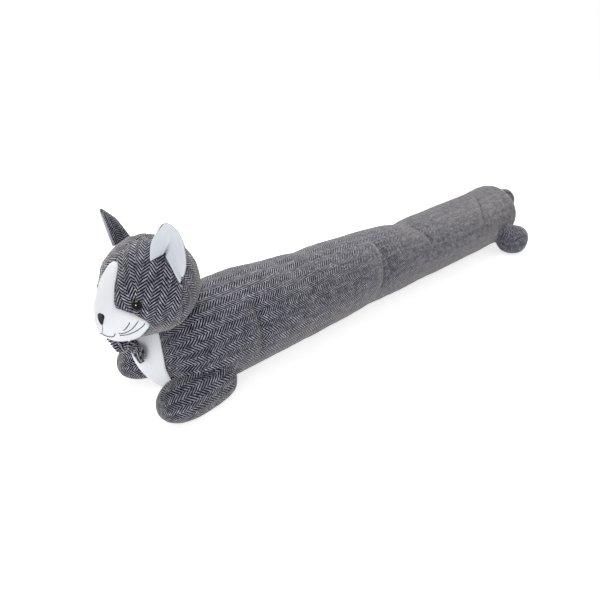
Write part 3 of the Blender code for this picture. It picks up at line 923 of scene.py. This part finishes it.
def buildEar(label, side, tip, spec):
    rows, seam, short = spec["rows"], spec["seam"], spec["backShort"]
    grid, spread, rise = earGrid(tip, spec)
    normals = gridNormals(grid)
    rim = np.sqrt(np.clip(1 - np.abs(spread) ** 5, 0, 1))[None, :] * np.sqrt(np.clip(1 - rise**7, 0, 1))
    # the pinch at the foot, and the soft roll beside it
    beside = spread[None, :] - (2 * spec["pinchAt"] / (len(spec["foot"]) - 1) - 1)
    pinchDepth, pinchWidth, pinchHeight = spec["pinch"]
    pinch = pinchDepth * (bell(beside, pinchWidth) * bell(rise, pinchHeight))
    rollDepth, rollMiddle, rollHeight = spec["roll"]
    roll = rollDepth * (bell(rise - rollMiddle, rollHeight) * np.clip(beside * 2.2, 0, 1))
    size, seed = spec["lumps"]
    soft = lumps(grid.reshape(-1, 3), size, seed + side).reshape(rim.shape)
    lining = seam + spec["puff"] * rim - pinch - roll + 0.0007 * soft * rim
    back = seam + spec["puff"] * rim + pinch + 0.0004 * soft * rim
    inner = np.minimum(lining - 2 * seam, 0.0001)

    def layer(lift):
        return headToWorld((grid + normals * lift[..., None]) * np.array((1, side, 1)))

    points, faces = closedSheet(layer(lining), layer(inner), rows, spec["columns"])
    # the lining takes the darker fleece, painted shade for the ear's hollow
    front = meshPiece("ear" + label + "Lining", points, faces, shadedEarFleece)
    fixNormals(front)
    settle(front, "white_fleece", f"ear_{label.lower()}_lining")
    # the tweed back stops just short of the front edge, where the white cloth rolls round
    columns = spec["columns"] - short
    tweedIn = layer(np.minimum(inner, 0.0) - 0.0001)
    points, faces = closedSheet(layer(-back)[:, short:], tweedIn[:, short:], rows, columns)
    u = np.broadcast_to(rise * 0.060, (rows, columns))
    v = np.broadcast_to((spread * 0.022)[None, short:], (rows, columns))
    values = np.stack([u.ravel(), v.ravel()], axis=-1)
    weave = cornerValues(faces, np.concatenate([values, values]))
    rear = meshPiece("ear" + label + "Back", points, faces, tweed, weave)
    fixNormals(rear)
    settle(rear, "herringbone_tweed", f"ear_{label.lower()}_back")


for earLabel, earSide, earTip in earForm["tips"]:
    buildEar(earLabel, earSide, earTip, earForm)
print("ears ready")


# Body: tube, front legs and hind feet in one cloth

bodyForm = {
    "length": 0.852,
    "chestCap": 0.060,
    "rumpCap": 0.030,
    "chestHeight": 0.056,
    "chestTuck": 0.0085,
    "tuckHeight": 0.045,
    "rumpHeight": 0.062,
    "rumpSquare": 3.0,
    "floorSink": 0.0022,
    "pitch": 0.0040,
    "segments": 96,
    "voxel": 0.0045,
    "aroundRadius": 0.0573,
    "sections": (  # station from the chest, half width, height
        (0.000, 0.058, 0.118),
        (0.070, 0.061, 0.122),
        (0.142, 0.062, 0.120),
        (0.252, 0.060, 0.118),
        (0.340, 0.058, 0.116),
        (0.430, 0.056, 0.113),
        (0.520, 0.056, 0.108),
        (0.610, 0.059, 0.109),
        (0.700, 0.061, 0.111),
        (0.780, 0.062, 0.1135),
        (0.852, 0.060, 0.1215),
    ),
    "folds": (  # station, angle from the top, slant, half length, depth, half width
        (0.127, 75.0, 0.000, 38.0, 0.0030, 0.008),
        (0.150, -28.0, 0.000, 48.0, -0.0042, 0.045),
        (0.215, 30.0, 0.010, 38.0, 0.0026, 0.010),
        (0.265, -35.0, 0.000, 45.0, 0.0028, 0.013),
        (0.380, 92.0, -0.009, 62.0, 0.0038, 0.023),
        (0.502, -35.0, 0.000, 65.0, 0.0052, 0.024),
        (0.719, 35.0, -0.054, 50.0, 0.0018, 0.009),
    ),
    "creases": (  # the same for the narrow creases
        (0.127, 75.0, 0.000, 34.0, 0.0014, 0.0045),
        (0.378, 84.0, -0.009, 44.0, 0.0013, 0.0042),
        (0.393, 60.0, 0.012, 40.0, 0.0012, 0.0045),
        (0.510, 40.0, 0.020, 26.0, 0.0012, 0.0045),
        (0.717, 34.0, -0.052, 25.0, 0.0018, 0.0046),
    ),
    "creaseFull": 0.0018,
    "rumpSeam": (0.0012, 0.55, 0.09),  # depth, where the cloth faces back this much, width
    "gather": 0.0034,
    "lobeSeam": 0.0006,
    "pressure": 4.0,
    "frames": 20,
    "shrink": 0.0030,
    "swellCap": 0.0060,
    "legRear": 0.22,
    "lobes": (  # name, size, fullness, place from the chest, turn in degrees
        ("legLeft", (0.103, 0.048, 0.052), 0.82, (0.0390, -0.0490, 0.0240), 5.0),
        ("legRight", (0.096, 0.048, 0.051), 0.82, (0.0480, 0.0545, 0.0235), -5.0),
        ("hindLeft", (0.050, 0.060, 0.058), 0.85, (0.784, -0.0785, 0.0285), 12.0),
        ("hindRight", (0.050, 0.060, 0.058), 0.85, (0.784, 0.0785, 0.0285), -12.0),
    ),
}


def foldDepth(station, around, kind="folds"):
    depth = np.zeros(np.broadcast(station, around).shape)
    for place, angle, slant, reach, deep, wide in bodyForm[kind]:
        turn = (around - math.radians(angle) + math.pi) % (2 * math.pi) - math.pi
        off = (station - place - slant * turn) / wide
        depth += deep * np.exp(-(off**2) - (turn / math.radians(reach)) ** 4)
    return depth


def tubeSize(station):  # half width and height
    return smoothTable(bodyForm["sections"], station, 1), smoothTable(bodyForm["sections"], station, 2)


def tubePoint(station, around):
    form = bodyForm
    halfWidth, height = tubeSize(station)
    front = np.clip(station / form["chestCap"], 0, 1)
    rear = np.clip((form["length"] - station) / form["rumpCap"], 0, 1)
    square = form["rumpSquare"]
    share = quarterRound(front) * np.clip(1 - (1 - rear) ** square, 0, 1) ** (1 / square)
    endHeight = np.where(station < form["length"] / 2, form["chestHeight"], form["rumpHeight"])
    centre = endHeight + (height / 2 - form["floorSink"] - endHeight) * share
    draw = share * foldDepth(station, around)
    across = (halfWidth * share - draw) * np.sin(around)
    high = centre + (height / 2 * share - draw) * np.cos(around)
    # the chest runs back under itself
    tuck = form["chestTuck"] * np.clip((form["chestHeight"] - high) / form["tuckHeight"], 0, 1) * (1 - front)
    return np.stack([chestX + station + tuck, -across, high], axis=-1)


def tubeGrid():
    form = bodyForm
    bend = np.linspace(0, math.pi / 2, 15)[1:-1]
    front = form["chestCap"] * (1 - np.cos(bend))
    rear = form["length"] - form["rumpCap"] * (1 - np.cos(bend))
    straight = np.arange(form["chestCap"], form["length"] - form["rumpCap"], form["pitch"])
    stations = np.concatenate([front, straight, rear[::-1]])
    around = np.linspace(0, 2 * math.pi, form["segments"], endpoint=False)
    rings = tubePoint(stations[:, None], around[None, :])
    ends = np.array(((chestX, 0, form["chestHeight"]), (chestX + form["length"], 0, form["rumpHeight"])))
    return np.concatenate([rings.reshape(-1, 3), ends]), tubeFaces(len(stations), form["segments"])


def lobeGrid(size, fullness, place, turn):
    columns, rows = 56, 36
    lon = np.linspace(0, 2 * math.pi, columns, endpoint=False)
    lat = np.linspace(-math.pi / 2, math.pi / 2, rows + 2)[1:-1]
    lon, lat = np.meshgrid(lon, lat)
    ball = np.stack([np.cos(lat) * np.cos(lon), np.cos(lat) * np.sin(lon), np.sin(lat)], axis=-1).reshape(-1, 3)
    ball = np.concatenate([ball, [(0, 0, -1), (0, 0, 1)]])
    squarer = bodyForm["legRear"] if size[0] > 0.08 else 0.0  # the back end of a front leg is blunt
    power = fullness - squarer * np.clip(ball[:, :1] * 1.4, 0, 1) * np.array((1.0, 0.3, 1.0))
    ball = np.sign(ball) * np.abs(ball) ** power * np.array(size) / 2
    points = ball @ spinAbout("Z", turn).T + np.array(place) + np.array((chestX, 0, 0))
    return points, tubeFaces(rows, columns)


def joinMeshes(parts):
    points, faces, start = [], [], 0
    for somePoints, someFaces in parts:
        points.append(somePoints)
        faces += [tuple(start + i for i in face) for face in someFaces]
        start += len(somePoints)
    return np.concatenate(points), faces


def applied(piece):
    bpy.context.view_layer.update()
    graph = bpy.context.evaluated_depsgraph_get()
    mesh = bpy.data.meshes.new_from_object(piece.evaluated_get(graph))
    old = piece.data
    piece.modifiers.clear()
    piece.data = mesh
    bpy.data.meshes.remove(old)
    return piece


def readVectors(mesh, key):
    values = np.empty(len(mesh.vertices) * 3, np.float32)
    mesh.vertices.foreach_get(key, values)
    return values.reshape(-1, 3).astype(float)


def writePoints(mesh, points):
    mesh.vertices.foreach_set("co", points.astype(np.float32).ravel())
    mesh.update()


def lobeMeasure(points, size, fullness, place, turn):  # 1 on the lobe's surface, more outside
    local = (points - np.array(place) - np.array((chestX, 0, 0))) @ spinAbout("Z", turn)
    ball = np.sign(local) * np.abs(local / (np.array(size) / 2)) ** (1 / fullness)
    return np.linalg.norm(ball, axis=-1), local


def tubeMeasure(points):
    form = bodyForm
    station = points[:, 0] - chestX
    halfWidth, height = tubeSize(station)
    middle = height / 2 - form["floorSink"]
    side = np.hypot(points[:, 1] / halfWidth, (points[:, 2] - middle) / (height / 2))
    front = np.clip((form["chestCap"] - station) / form["chestCap"], 0, None)
    rear = np.clip((station - form["length"] + form["rumpCap"]) / form["rumpCap"], 0, None)
    return np.hypot(np.hypot(side, front), rear**1.5), station, middle


# columns run along the tube and along each leg, and the rump is a round panel of its own
def bodyWeave(mesh):
    form = bodyForm
    points, up = readVectors(mesh, "co"), np.array((0.0, 0.0, 1.0))
    measure, station, middle = tubeMeasure(points)
    start = np.clip(station / form["chestCap"], 0, 1)
    bend = np.arccos(np.clip(1 - start, -1, 1))
    along = np.where(station < form["chestCap"], form["chestCap"] * (1 - math.pi / 2 + bend), station)
    end = np.clip((station - form["length"] + form["rumpCap"]) / form["rumpCap"], 0, 1)
    along = along + form["rumpCap"] * 0.6 * end**3
    around = np.arctan2(-points[:, 1], points[:, 2] - middle)
    measures, charts = [measure], [np.stack([along, around * form["aroundRadius"]], axis=-1)]
    for _, size, fullness, place, turn in form["lobes"]:
        value, local = lobeMeasure(points, size, fullness, place, turn)
        side = -1.0 if place[1] < 0 else 1.0
        ball = unit(local / (np.array(size) / 2) * np.array((1, side, 1)))
        for inner in (1.0, -1.0):  # an outer and an inner panel, with a seam over the top
            middle = unit(np.array((0.0, inner, 0.3)))
            rise = ball @ unit(up - middle * middle[2])
            apart = angleFrom(ball, middle)
            scale = apart / np.maximum(np.sin(apart), 1e-6)
            chart = np.stack([ball[:, 0] * scale * size[0] * 0.44, rise * scale * size[2] * 0.5], axis=-1)
            charts.append(chart + np.array((0.4, 0.1 * inner)))
            measures.append(value - 0.002 * (ball @ middle))
    before = station < form["length"] - form["rumpCap"] - 0.01
    charts.append(points[:, [2, 1]] * 1.1 + 0.7)
    rumpFacing = form["rumpSeam"][1] - readVectors(mesh, "normal")[:, 0]
    measures.append(measure + 0.2 * rumpFacing + 10.0 * before)
    charts = np.array(charts)
    corners = np.empty(len(mesh.loops), np.int32)
    mesh.loops.foreach_get("vertex_index", corners)
    counts = np.empty(len(mesh.polygons), np.int32)
    mesh.polygons.foreach_get("loop_total", counts)
    faceOf = np.repeat(np.arange(len(counts)), counts)
    centre = np.stack([np.bincount(faceOf, values[corners]) for values in measures]) / counts
    chosen = np.argmin(centre, axis=0)[faceOf]
    values = charts[chosen, corners]
    # round the seam under the tube the angle jumps: take all corners of a face on one side
    turnLength = 2 * math.pi * form["aroundRadius"]
    first = np.concatenate([[0], np.cumsum(counts)[:-1]])
    lead = values[first[faceOf], 1]
    jump = np.where(chosen == 0, np.round((lead - values[:, 1]) / turnLength), 0)
    values[:, 1] += jump * turnLength
    writeWeave(mesh, values)


def clearOfHead(points, gap):  # brings points out of the head
    local = headFromWorld(points)
    reach = headReach(unit(local)) + gap
    inside = np.linalg.norm(local, axis=-1) < reach
    points = points.copy()
    points[inside] = headToWorld(unit(local[inside]) * reach[inside][:, None])
    return points


# 1 where the cloth is held: at the seams of legs and feet, under the head and on the floor
def seamPins(points):
    tube = tubeMeasure(points)[0]
    held = np.clip(1.6 - points[:, 2] / 0.0035, 0, 1)
    for _, *lobe in bodyForm["lobes"]:
        value = lobeMeasure(points, *lobe)[0]
        held = np.maximum(held, bell(value - 1.05, 0.14, 4) * bell(tube - 1.03, 0.09, 4))
    local = headFromWorld(points)
    close = np.linalg.norm(local, axis=-1) - headReach(unit(local))
    return np.clip(np.maximum(held, np.clip(1.5 - close / 0.006, 0, 1)), 0, 1)


def fillCloth(piece, form, held):
    mesh = piece.data
    goal, normals = readVectors(mesh, "co"), readVectors(mesh, "normal")
    writePoints(mesh, goal - normals * (form["shrink"] * (1 - held))[:, None])
    group = piece.vertex_groups.new(name="seams")
    for index in np.nonzero(held > 0.02)[0]:
        group.add([int(index)], float(held[index]), "REPLACE")
    cloth = piece.modifiers.new("stuffing", "CLOTH")
    settings = cloth.settings
    settings.quality = 6
    settings.mass = 0.25
    settings.tension_stiffness = settings.compression_stiffness = 12.0
    settings.shear_stiffness = 5.0
    settings.bending_stiffness = 0.4
    settings.use_pressure = True
    settings.uniform_pressure_force = form["pressure"]
    settings.effector_weights.gravity = 0.0
    settings.vertex_group_mass = "seams"
    settings.pin_stiffness = 2.0
    cloth.point_cache.frame_start, cloth.point_cache.frame_end = 1, form["frames"]
    scene = bpy.context.scene
    for step in range(1, form["frames"] + 1):
        scene.frame_set(step)
    graph = bpy.context.evaluated_depsgraph_get()
    moved = readVectors(piece.evaluated_get(graph).to_mesh(), "co") - goal
    piece.evaluated_get(graph).to_mesh_clear()
    piece.modifiers.remove(cloth)
    scene.frame_set(1)
    swell = float(np.median((moved * normals).sum(-1)[held < 0.3]))
    moved -= normals * (swell * (1 - held))[:, None]  # keeps the tube's own size
    length = np.linalg.norm(moved, axis=-1, keepdims=True)
    moved *= np.minimum(1, form["swellCap"] / np.maximum(length, 1e-9))
    print("filling moved the cloth by up to", round(float(length.max()) * 1000, 2), "mm")
    writePoints(mesh, goal + moved)
    piece.vertex_groups.clear()


def buildBody(form):
    points, faces = joinMeshes([tubeGrid()] + [lobeGrid(*lobe) for _, *lobe in form["lobes"]])
    piece = meshPiece("bodyTweed", points, faces, tweed)
    fixNormals(piece)
    remesh = piece.modifiers.new("oneCloth", "REMESH")
    remesh.mode = "VOXEL"
    remesh.voxel_size = form["voxel"]
    soften = piece.modifiers.new("soften", "SMOOTH")
    soften.factor = 0.5
    soften.iterations = 7
    applied(piece)
    fillCloth(piece, form, seamPins(readVectors(piece.data, "co")))
    finer = piece.modifiers.new("finer", "SUBSURF")
    finer.levels = finer.render_levels = 1
    applied(piece)
    mesh = piece.data
    points, normals = readVectors(mesh, "co"), readVectors(mesh, "normal")
    stretched = points * np.array((1.0, 0.45, 0.45))
    push = 0.0010 * lumps(points, 0.055, 2.0) + 0.00055 * lumps(stretched, 0.012, 6.0)
    tube, station, middle = tubeMeasure(points)
    around = np.arctan2(-points[:, 1], points[:, 2] - middle)
    crease = foldDepth(station, around, "creases") * bell(np.abs(tube - 1), 0.16, 4)
    push -= crease
    # painted shade mask for the tweed's colour, full at the deepest creases
    paintedCreaseShade = np.clip(crease / form["creaseFull"], 0, 1).astype(np.float32) ** 2
    mesh.attributes.new("crease", "FLOAT", "POINT").data.foreach_set("value", paintedCreaseShade)
    depth, facing, width = form["rumpSeam"]
    rumpSeam = depth * bell(normals[:, 0] - facing, width)
    push -= np.where(station > form["length"] - form["rumpCap"], rumpSeam, 0.0)
    # gathers where the legs leave the tube, and a seam over each leg
    for _, size, *lobe in form["lobes"]:
        value, local = lobeMeasure(points, size, *lobe)
        ball = unit(local / (np.array(size) / 2))
        push -= form["gather"] * (bell(value - 1.05, 0.10) * bell(tube - 1.03, 0.055))
        outside = np.clip((tube - 1.02) / 0.05, 0, 1)
        push -= form["lobeSeam"] * bell(ball[:, 1], 0.05) * bell(value - 1, 0.15, 4) * outside
    quiet = np.clip(points[:, 2] / 0.012, 0, 1)  # flat on the floor
    points = clearOfHead(points + normals * (push * quiet)[:, None], 0.0009)
    points[:, 2] = np.where(points[:, 2] < 0.0006, 0.0, points[:, 2])
    writePoints(mesh, points)
    bodyWeave(mesh)
    mesh.shade_smooth()
    mesh.materials.clear()
    mesh.materials.append(tweed)
    settle(piece, "herringbone_tweed", "body")
    return piece


body = buildBody(bodyForm)
print("body ready", len(body.data.polygons))


# Bib, sunk at its edges into its seams

bibForm = {
    "rows": (  # height above the floor, place of the middle across, half width
        (0.0060, -0.0010, 0.0050),
        (0.0140, -0.0050, 0.0170),
        (0.0240, -0.0065, 0.0270),
        (0.0360, -0.0075, 0.0320),
        (0.0445, -0.0080, 0.0325),
        (0.0567, -0.0060, 0.0300),
        (0.0704, -0.0030, 0.0308),
        (0.0829, -0.0005, 0.0273),
        (0.0914, 0.0000, 0.0216),
        (0.0950, 0.0000, 0.0185),
    ),
    "columns": 46,
    "levels": 64,
    "rise": 0.0016,
    "sink": 0.0008,
    "edge": 0.0045,
    "passes": 60,
    "forward": 0.0050,
    "thickness": 0.0009,
    "lumpEdge": 0.006,
}


def buildBib(spec):
    bpy.context.view_layer.update()
    tree = BVHTree.FromObject(body, bpy.context.evaluated_depsgraph_get())
    points, faces = tubeGrid()
    tube = BVHTree.FromPolygons(points.tolist(), faces)
    levels, columns = spec["levels"], spec["columns"]
    heights = np.linspace(spec["rows"][0][0], spec["rows"][-1][0], levels)
    middles, halves = smoothTable(spec["rows"], heights, 1), smoothTable(spec["rows"], heights, 2)
    share = np.linspace(-1, 1, columns)
    grid = np.zeros((levels, columns, 3))
    ahead = Vector((1, 0, 0))
    for row in range(levels):
        for column in range(columns):
            start = Vector((chestX - 0.2, middles[row] + halves[row] * share[column], heights[row]))
            hit, bare = tree.ray_cast(start, ahead)[0], tube.ray_cast(start, ahead)[0]
            grid[row, column] = hit
            if bare:  # the corners run under the legs
                grid[row, column, 0] = max(hit[0], bare[0] - spec["forward"])
    for _ in range(spec["passes"]):  # the cloth spans the dips between the legs
        x = np.pad(grid[..., 0], 1, mode="edge")
        mean = (x[2:, 1:-1] + x[:-2, 1:-1] + x[1:-1, 2:] + x[1:-1, :-2]) / 4
        grid[..., 0] = np.minimum(grid[..., 0], mean)
    normals = gridNormals(grid)
    rim = np.concatenate([grid[:, 0], grid[:, -1], grid[0]])
    flat = grid.reshape(-1, 3)
    edge = nearestDistance(flat, rim)
    lift = panelLift(edge, spec) + 0.0005 * lumps(flat, 0.018, 9.0) * np.clip(edge / spec["lumpEdge"], 0, 1)
    outer = grid + normals * lift.reshape(levels, columns, 1)
    points, faces = closedSheet(outer, outer - normals * spec["thickness"], levels, columns)
    piece = meshPiece("bibPanel", clearOfHead(points, 0.0003), faces, fleece)
    fixNormals(piece)
    settle(piece, "white_fleece", "bib")


buildBib(bibForm)
print("bib ready")


# Bow tie

bowForm = {
    "centre": np.array((chestX - 0.0038, 0.0031, 0.0768)),
    "thickness": 0.0068,
    "root": 0.0040,
    "rootHalfHeight": 0.0042,
    "fan": 0.0068,
    "pleats": 5.2,
    "pleatDepth": 0.34,
    "scallop": 0.0011,
    "lobes": (  # name, side, sweep, droop, length, slant
        ("Left", 1, -3.0, 9.0, 0.0235, 0.0),
        ("Right", -1, -24.0, 4.0, 0.0255, 0.22),
    ),
    "knot": (0.0125, 0.0085, 0.0125),
    "knotBack": 0.0015,
}


def buildBowLobe(label, side, sweep, droop, length, slant, spec):
    steps, around, root = 34, 72, spec["root"]
    points, values = [], []
    for step in range(steps + 1):
        share = step / steps
        reach = root + (length - root) * share
        half = spec["rootHalfHeight"] + spec["fan"] * math.sin(math.pi / 2 * share**0.8)
        end = math.sqrt(max(1 - max((share - 0.8) / 0.24, 0.0) ** 2, 0.0))
        for angle in circle(around):
            high = math.sin(angle)
            wave = math.cos(spec["pleats"] * math.pi * high)
            pleat = 1 + spec["pleatDepth"] * wave * (1 - 0.35 * share)
            through = spec["thickness"] / 2 * end * math.cos(angle) * pleat * (0.92 + 0.08 * share)
            out = reach * (1 + slant * high * share) + spec["scallop"] * wave * share**3
            points.append((through, -side * out, half * end * high))
            values.append((half * high * (1.3 - 0.3 * share), reach + (0.02 if math.cos(angle) > 0 else 0.0)))
    points += [(0, -side * root, 0), (0, -side * (length + 0.0006), 0)]
    values += [(0, root), (0, length)]
    faces = tubeFaces(steps + 1, around)
    spin = spinAbout("Z", side * sweep) @ spinAbout("X", side * droop)
    points = np.array(points) @ spin.T + spec["centre"]
    piece = meshPiece("bowLobe" + label, points, faces, bowTweed, cornerValues(faces, np.array(values)))
    fixNormals(piece)
    settle(piece, "herringbone_tweed", f"bow_lobe_{label.lower()}")


def buildKnot(spec):
    rows, around, knot = 22, 36, spec["knot"]
    points, values = [], []
    for row in range(rows):
        lat = math.pi * (row + 1) / (rows + 1) - math.pi / 2
        for angle in circle(around):
            ball = (math.cos(lat) * math.cos(angle), math.cos(lat) * math.sin(angle), math.sin(lat))
            point = [math.copysign(abs(part) ** 0.8, part) * size / 2 for part, size in zip(ball, knot)]
            crease = 1 - 0.06 * math.cos(3 * angle) ** 2 * math.cos(lat)
            points.append((point[0] * crease, point[1] * crease, point[2]))
            values.append((point[2], angle * 0.0045))
    points += [(0, 0, -knot[2] / 2), (0, 0, knot[2] / 2)]
    values += [(-0.006, 0), (0.006, 0)]
    faces = tubeFaces(rows, around)
    points = np.array(points) + (spec["centre"] + np.array((spec["knotBack"], 0, 0)))
    piece = meshPiece("bowKnot", points, faces, bowTweed, cornerValues(faces, np.array(values)))
    fixNormals(piece)
    settle(piece, "herringbone_tweed", "bow_knot")


for lobe in bowForm["lobes"]:
    buildBowLobe(*lobe, bowForm)
buildKnot(bowForm)
print("bow ready")


# Tail, sewn to the top of the rump

tailForm = {
    "radius": 0.0135,
    "clothTurn": 0.0127,
    "offRump": 0.0012,
    "path": (  # order, station, place across, height, share of the radius
        (0, 0.842, -0.0150, 0.0980, 0.85),
        (1, 0.860, -0.0200, 0.0930, 1.00),
        (2, 0.873, -0.0210, 0.0800, 1.00),
        (3, 0.876, -0.0160, 0.0640, 0.97),
        (4, 0.874, -0.0080, 0.0480, 0.88),
        (5, 0.870, 0.0000, 0.0350, 0.66),
    ),
}


def rumpFace(points):  # x of the rump's surface behind each point
    form = bodyForm
    high = form["sections"][-1][2]
    side = np.hypot(points[:, 1] / form["sections"][-1][1], (points[:, 2] - form["rumpHeight"]) / (high / 2))
    square = form["rumpSquare"]
    rear = np.clip(1 - np.clip(side, 0, 1) ** square, 0, 1) ** (1 / square)
    return chestX + form["length"] - form["rumpCap"] * (1 - rear)


def buildTail(spec):
    steps, around = 60, 32
    places = np.linspace(0, 5, steps + 1)
    path = smoothPath(spec["path"], places)
    path[:, 0] += chestX
    share = smoothTable(spec["path"], places, 4)
    ahead = unit(np.gradient(path, axis=0))
    side = unit(np.cross(ahead, (0.0, 1.0, 0.0)))
    other = np.cross(ahead, side)
    index = np.arange(steps + 1)
    ends = np.sqrt(np.clip(np.minimum((index + 2) / 8, (steps - index + 0.15) / 9), 0, 1))
    size = spec["radius"] * share * ends
    angle = np.linspace(0, 2 * math.pi, around, endpoint=False)
    ring = np.cos(angle)[None, :, None] * side[:, None] + np.sin(angle)[None, :, None] * other[:, None]
    points = (path[:, None] + ring * size[:, None, None]).reshape(-1, 3)
    out = unit(points - np.repeat(path, around, axis=0))
    points = points + out * (0.0008 * lumps(points, 0.014, 7.0))[:, None]
    points = np.concatenate([points, path[:1], path[-1:]])
    points[:, 0] = np.maximum(points[:, 0], rumpFace(points) + spec["offRump"])
    length = np.concatenate([[0], np.cumsum(np.linalg.norm(np.diff(path, axis=0), axis=-1))])
    values = np.stack([np.repeat(length, around), np.tile(angle * spec["clothTurn"], steps + 1)], axis=-1)
    faces = tubeFaces(steps + 1, around)
    corners = cornerValues(faces, np.concatenate([values, [(0, 0), (length[-1], 0)]]))
    place = 0
    for face in faces:  # keep the turn of the last column unbroken
        part = corners[place:place + len(face)]
        part[part[:, 1] < part[:, 1].max() - math.pi * spec["clothTurn"], 1] += 2 * math.pi * spec["clothTurn"]
        place += len(face)
    piece = meshPiece("tailTweed", points, faces, tweed, corners)
    fixNormals(piece)
    settle(piece, "herringbone_tweed", "tail")


buildTail(tailForm)
print("tail ready")


# Floor and light

studio = {
    "floorColour": (0.78, 0.78, 0.78),
    "floorGlow": 0.70,
    "floorBounce": 0.34,
    "floorRings": (0.4, 0.9, 2.0, 5.0, 12.0),
    "floorSteps": 64,
    "worldStrength": 0.53,
    "worldGloss": 0.10,
    "lightColour": (1.0, 0.975, 0.925),
    "lights": (  # name, place, aim, size, watts
        ("keyLight", (-1.80, -0.95, 0.55), (-0.35, 0.0, 0.10), 0.70, 8.6),
        ("topLight", (-0.05, 0.55, 1.10), (-0.2, 0.0, 0.0), 1.0, 18.5),
        ("rightLight", (1.3, -1.7, 1.0), (0.1, 0.0, 0.05), 1.1, 1.0),
    ),
}


def buildFloor(spec):
    rings, steps = spec["floorRings"], spec["floorSteps"]
    points = [(ring * math.cos(angle), ring * math.sin(angle), 0.0) for ring in rings for angle in circle(steps)]
    points.append((0.0, 0.0, 0.0))
    faces = [face[::-1] for face in gridFaces(len(rings), steps, True)]
    faces += [(len(points) - 1, i, (i + 1) % steps) for i in range(steps)]
    mesh = bpy.data.meshes.new("studioFloor")
    mesh.from_pydata(points, [], faces)
    material, tree, shader = startMaterial("floorPaper")
    seen = tree.nodes.new("ShaderNodeLightPath").outputs["Is Camera Ray"]  # a table lit from below
    glow, bounce = (spec["floorGlow"],) * 3, (spec["floorBounce"],) * 3
    tree.links.new(mixColour(tree, seen, bounce, glow), shader.inputs["Emission Color"])
    setSockets(shader, Base_Color=(*spec["floorColour"], 1.0), Emission_Strength=1.0)
    setSockets(shader, Roughness=0.9, Specular_IOR_Level=0.1)
    mesh.materials.append(material)
    floor = addObject("studioFloor", mesh)
    floor.location = (0.0, 0.0, -0.0003)
    floor.visible_glossy = False


def buildStudio(spec):
    buildFloor(spec)
    world = bpy.data.worlds.new("studioWorld")
    world.use_nodes = True
    tree = world.node_tree
    background = tree.nodes["Background"]
    setSockets(background, Color=(1.0, 1.0, 1.0, 1.0))
    path = tree.nodes.new("ShaderNodeLightPath").outputs
    darker = spec["worldGloss"] - spec["worldStrength"]  # black flags keep the eyes dark
    strength = mathNode(tree, "MULTIPLY_ADD", path["Is Glossy Ray"], darker, spec["worldStrength"])
    tree.links.new(mathNode(tree, "MAXIMUM", strength, path["Is Camera Ray"]), background.inputs["Strength"])
    bpy.context.scene.world = world
    for name, place, aim, size, watts in spec["lights"]:
        data = bpy.data.lights.new(name, "AREA")
        data.shape = "DISK"
        data.size = size
        data.energy = watts
        data.color = spec["lightColour"]
        light = addObject(name, data)
        light.location = place
        light.rotation_euler = (Vector(place) - Vector(aim)).to_track_quat("Z", "Y").to_euler()
    bpy.context.scene.view_settings.view_transform = "Standard"


buildStudio(studio)
print("studio ready")
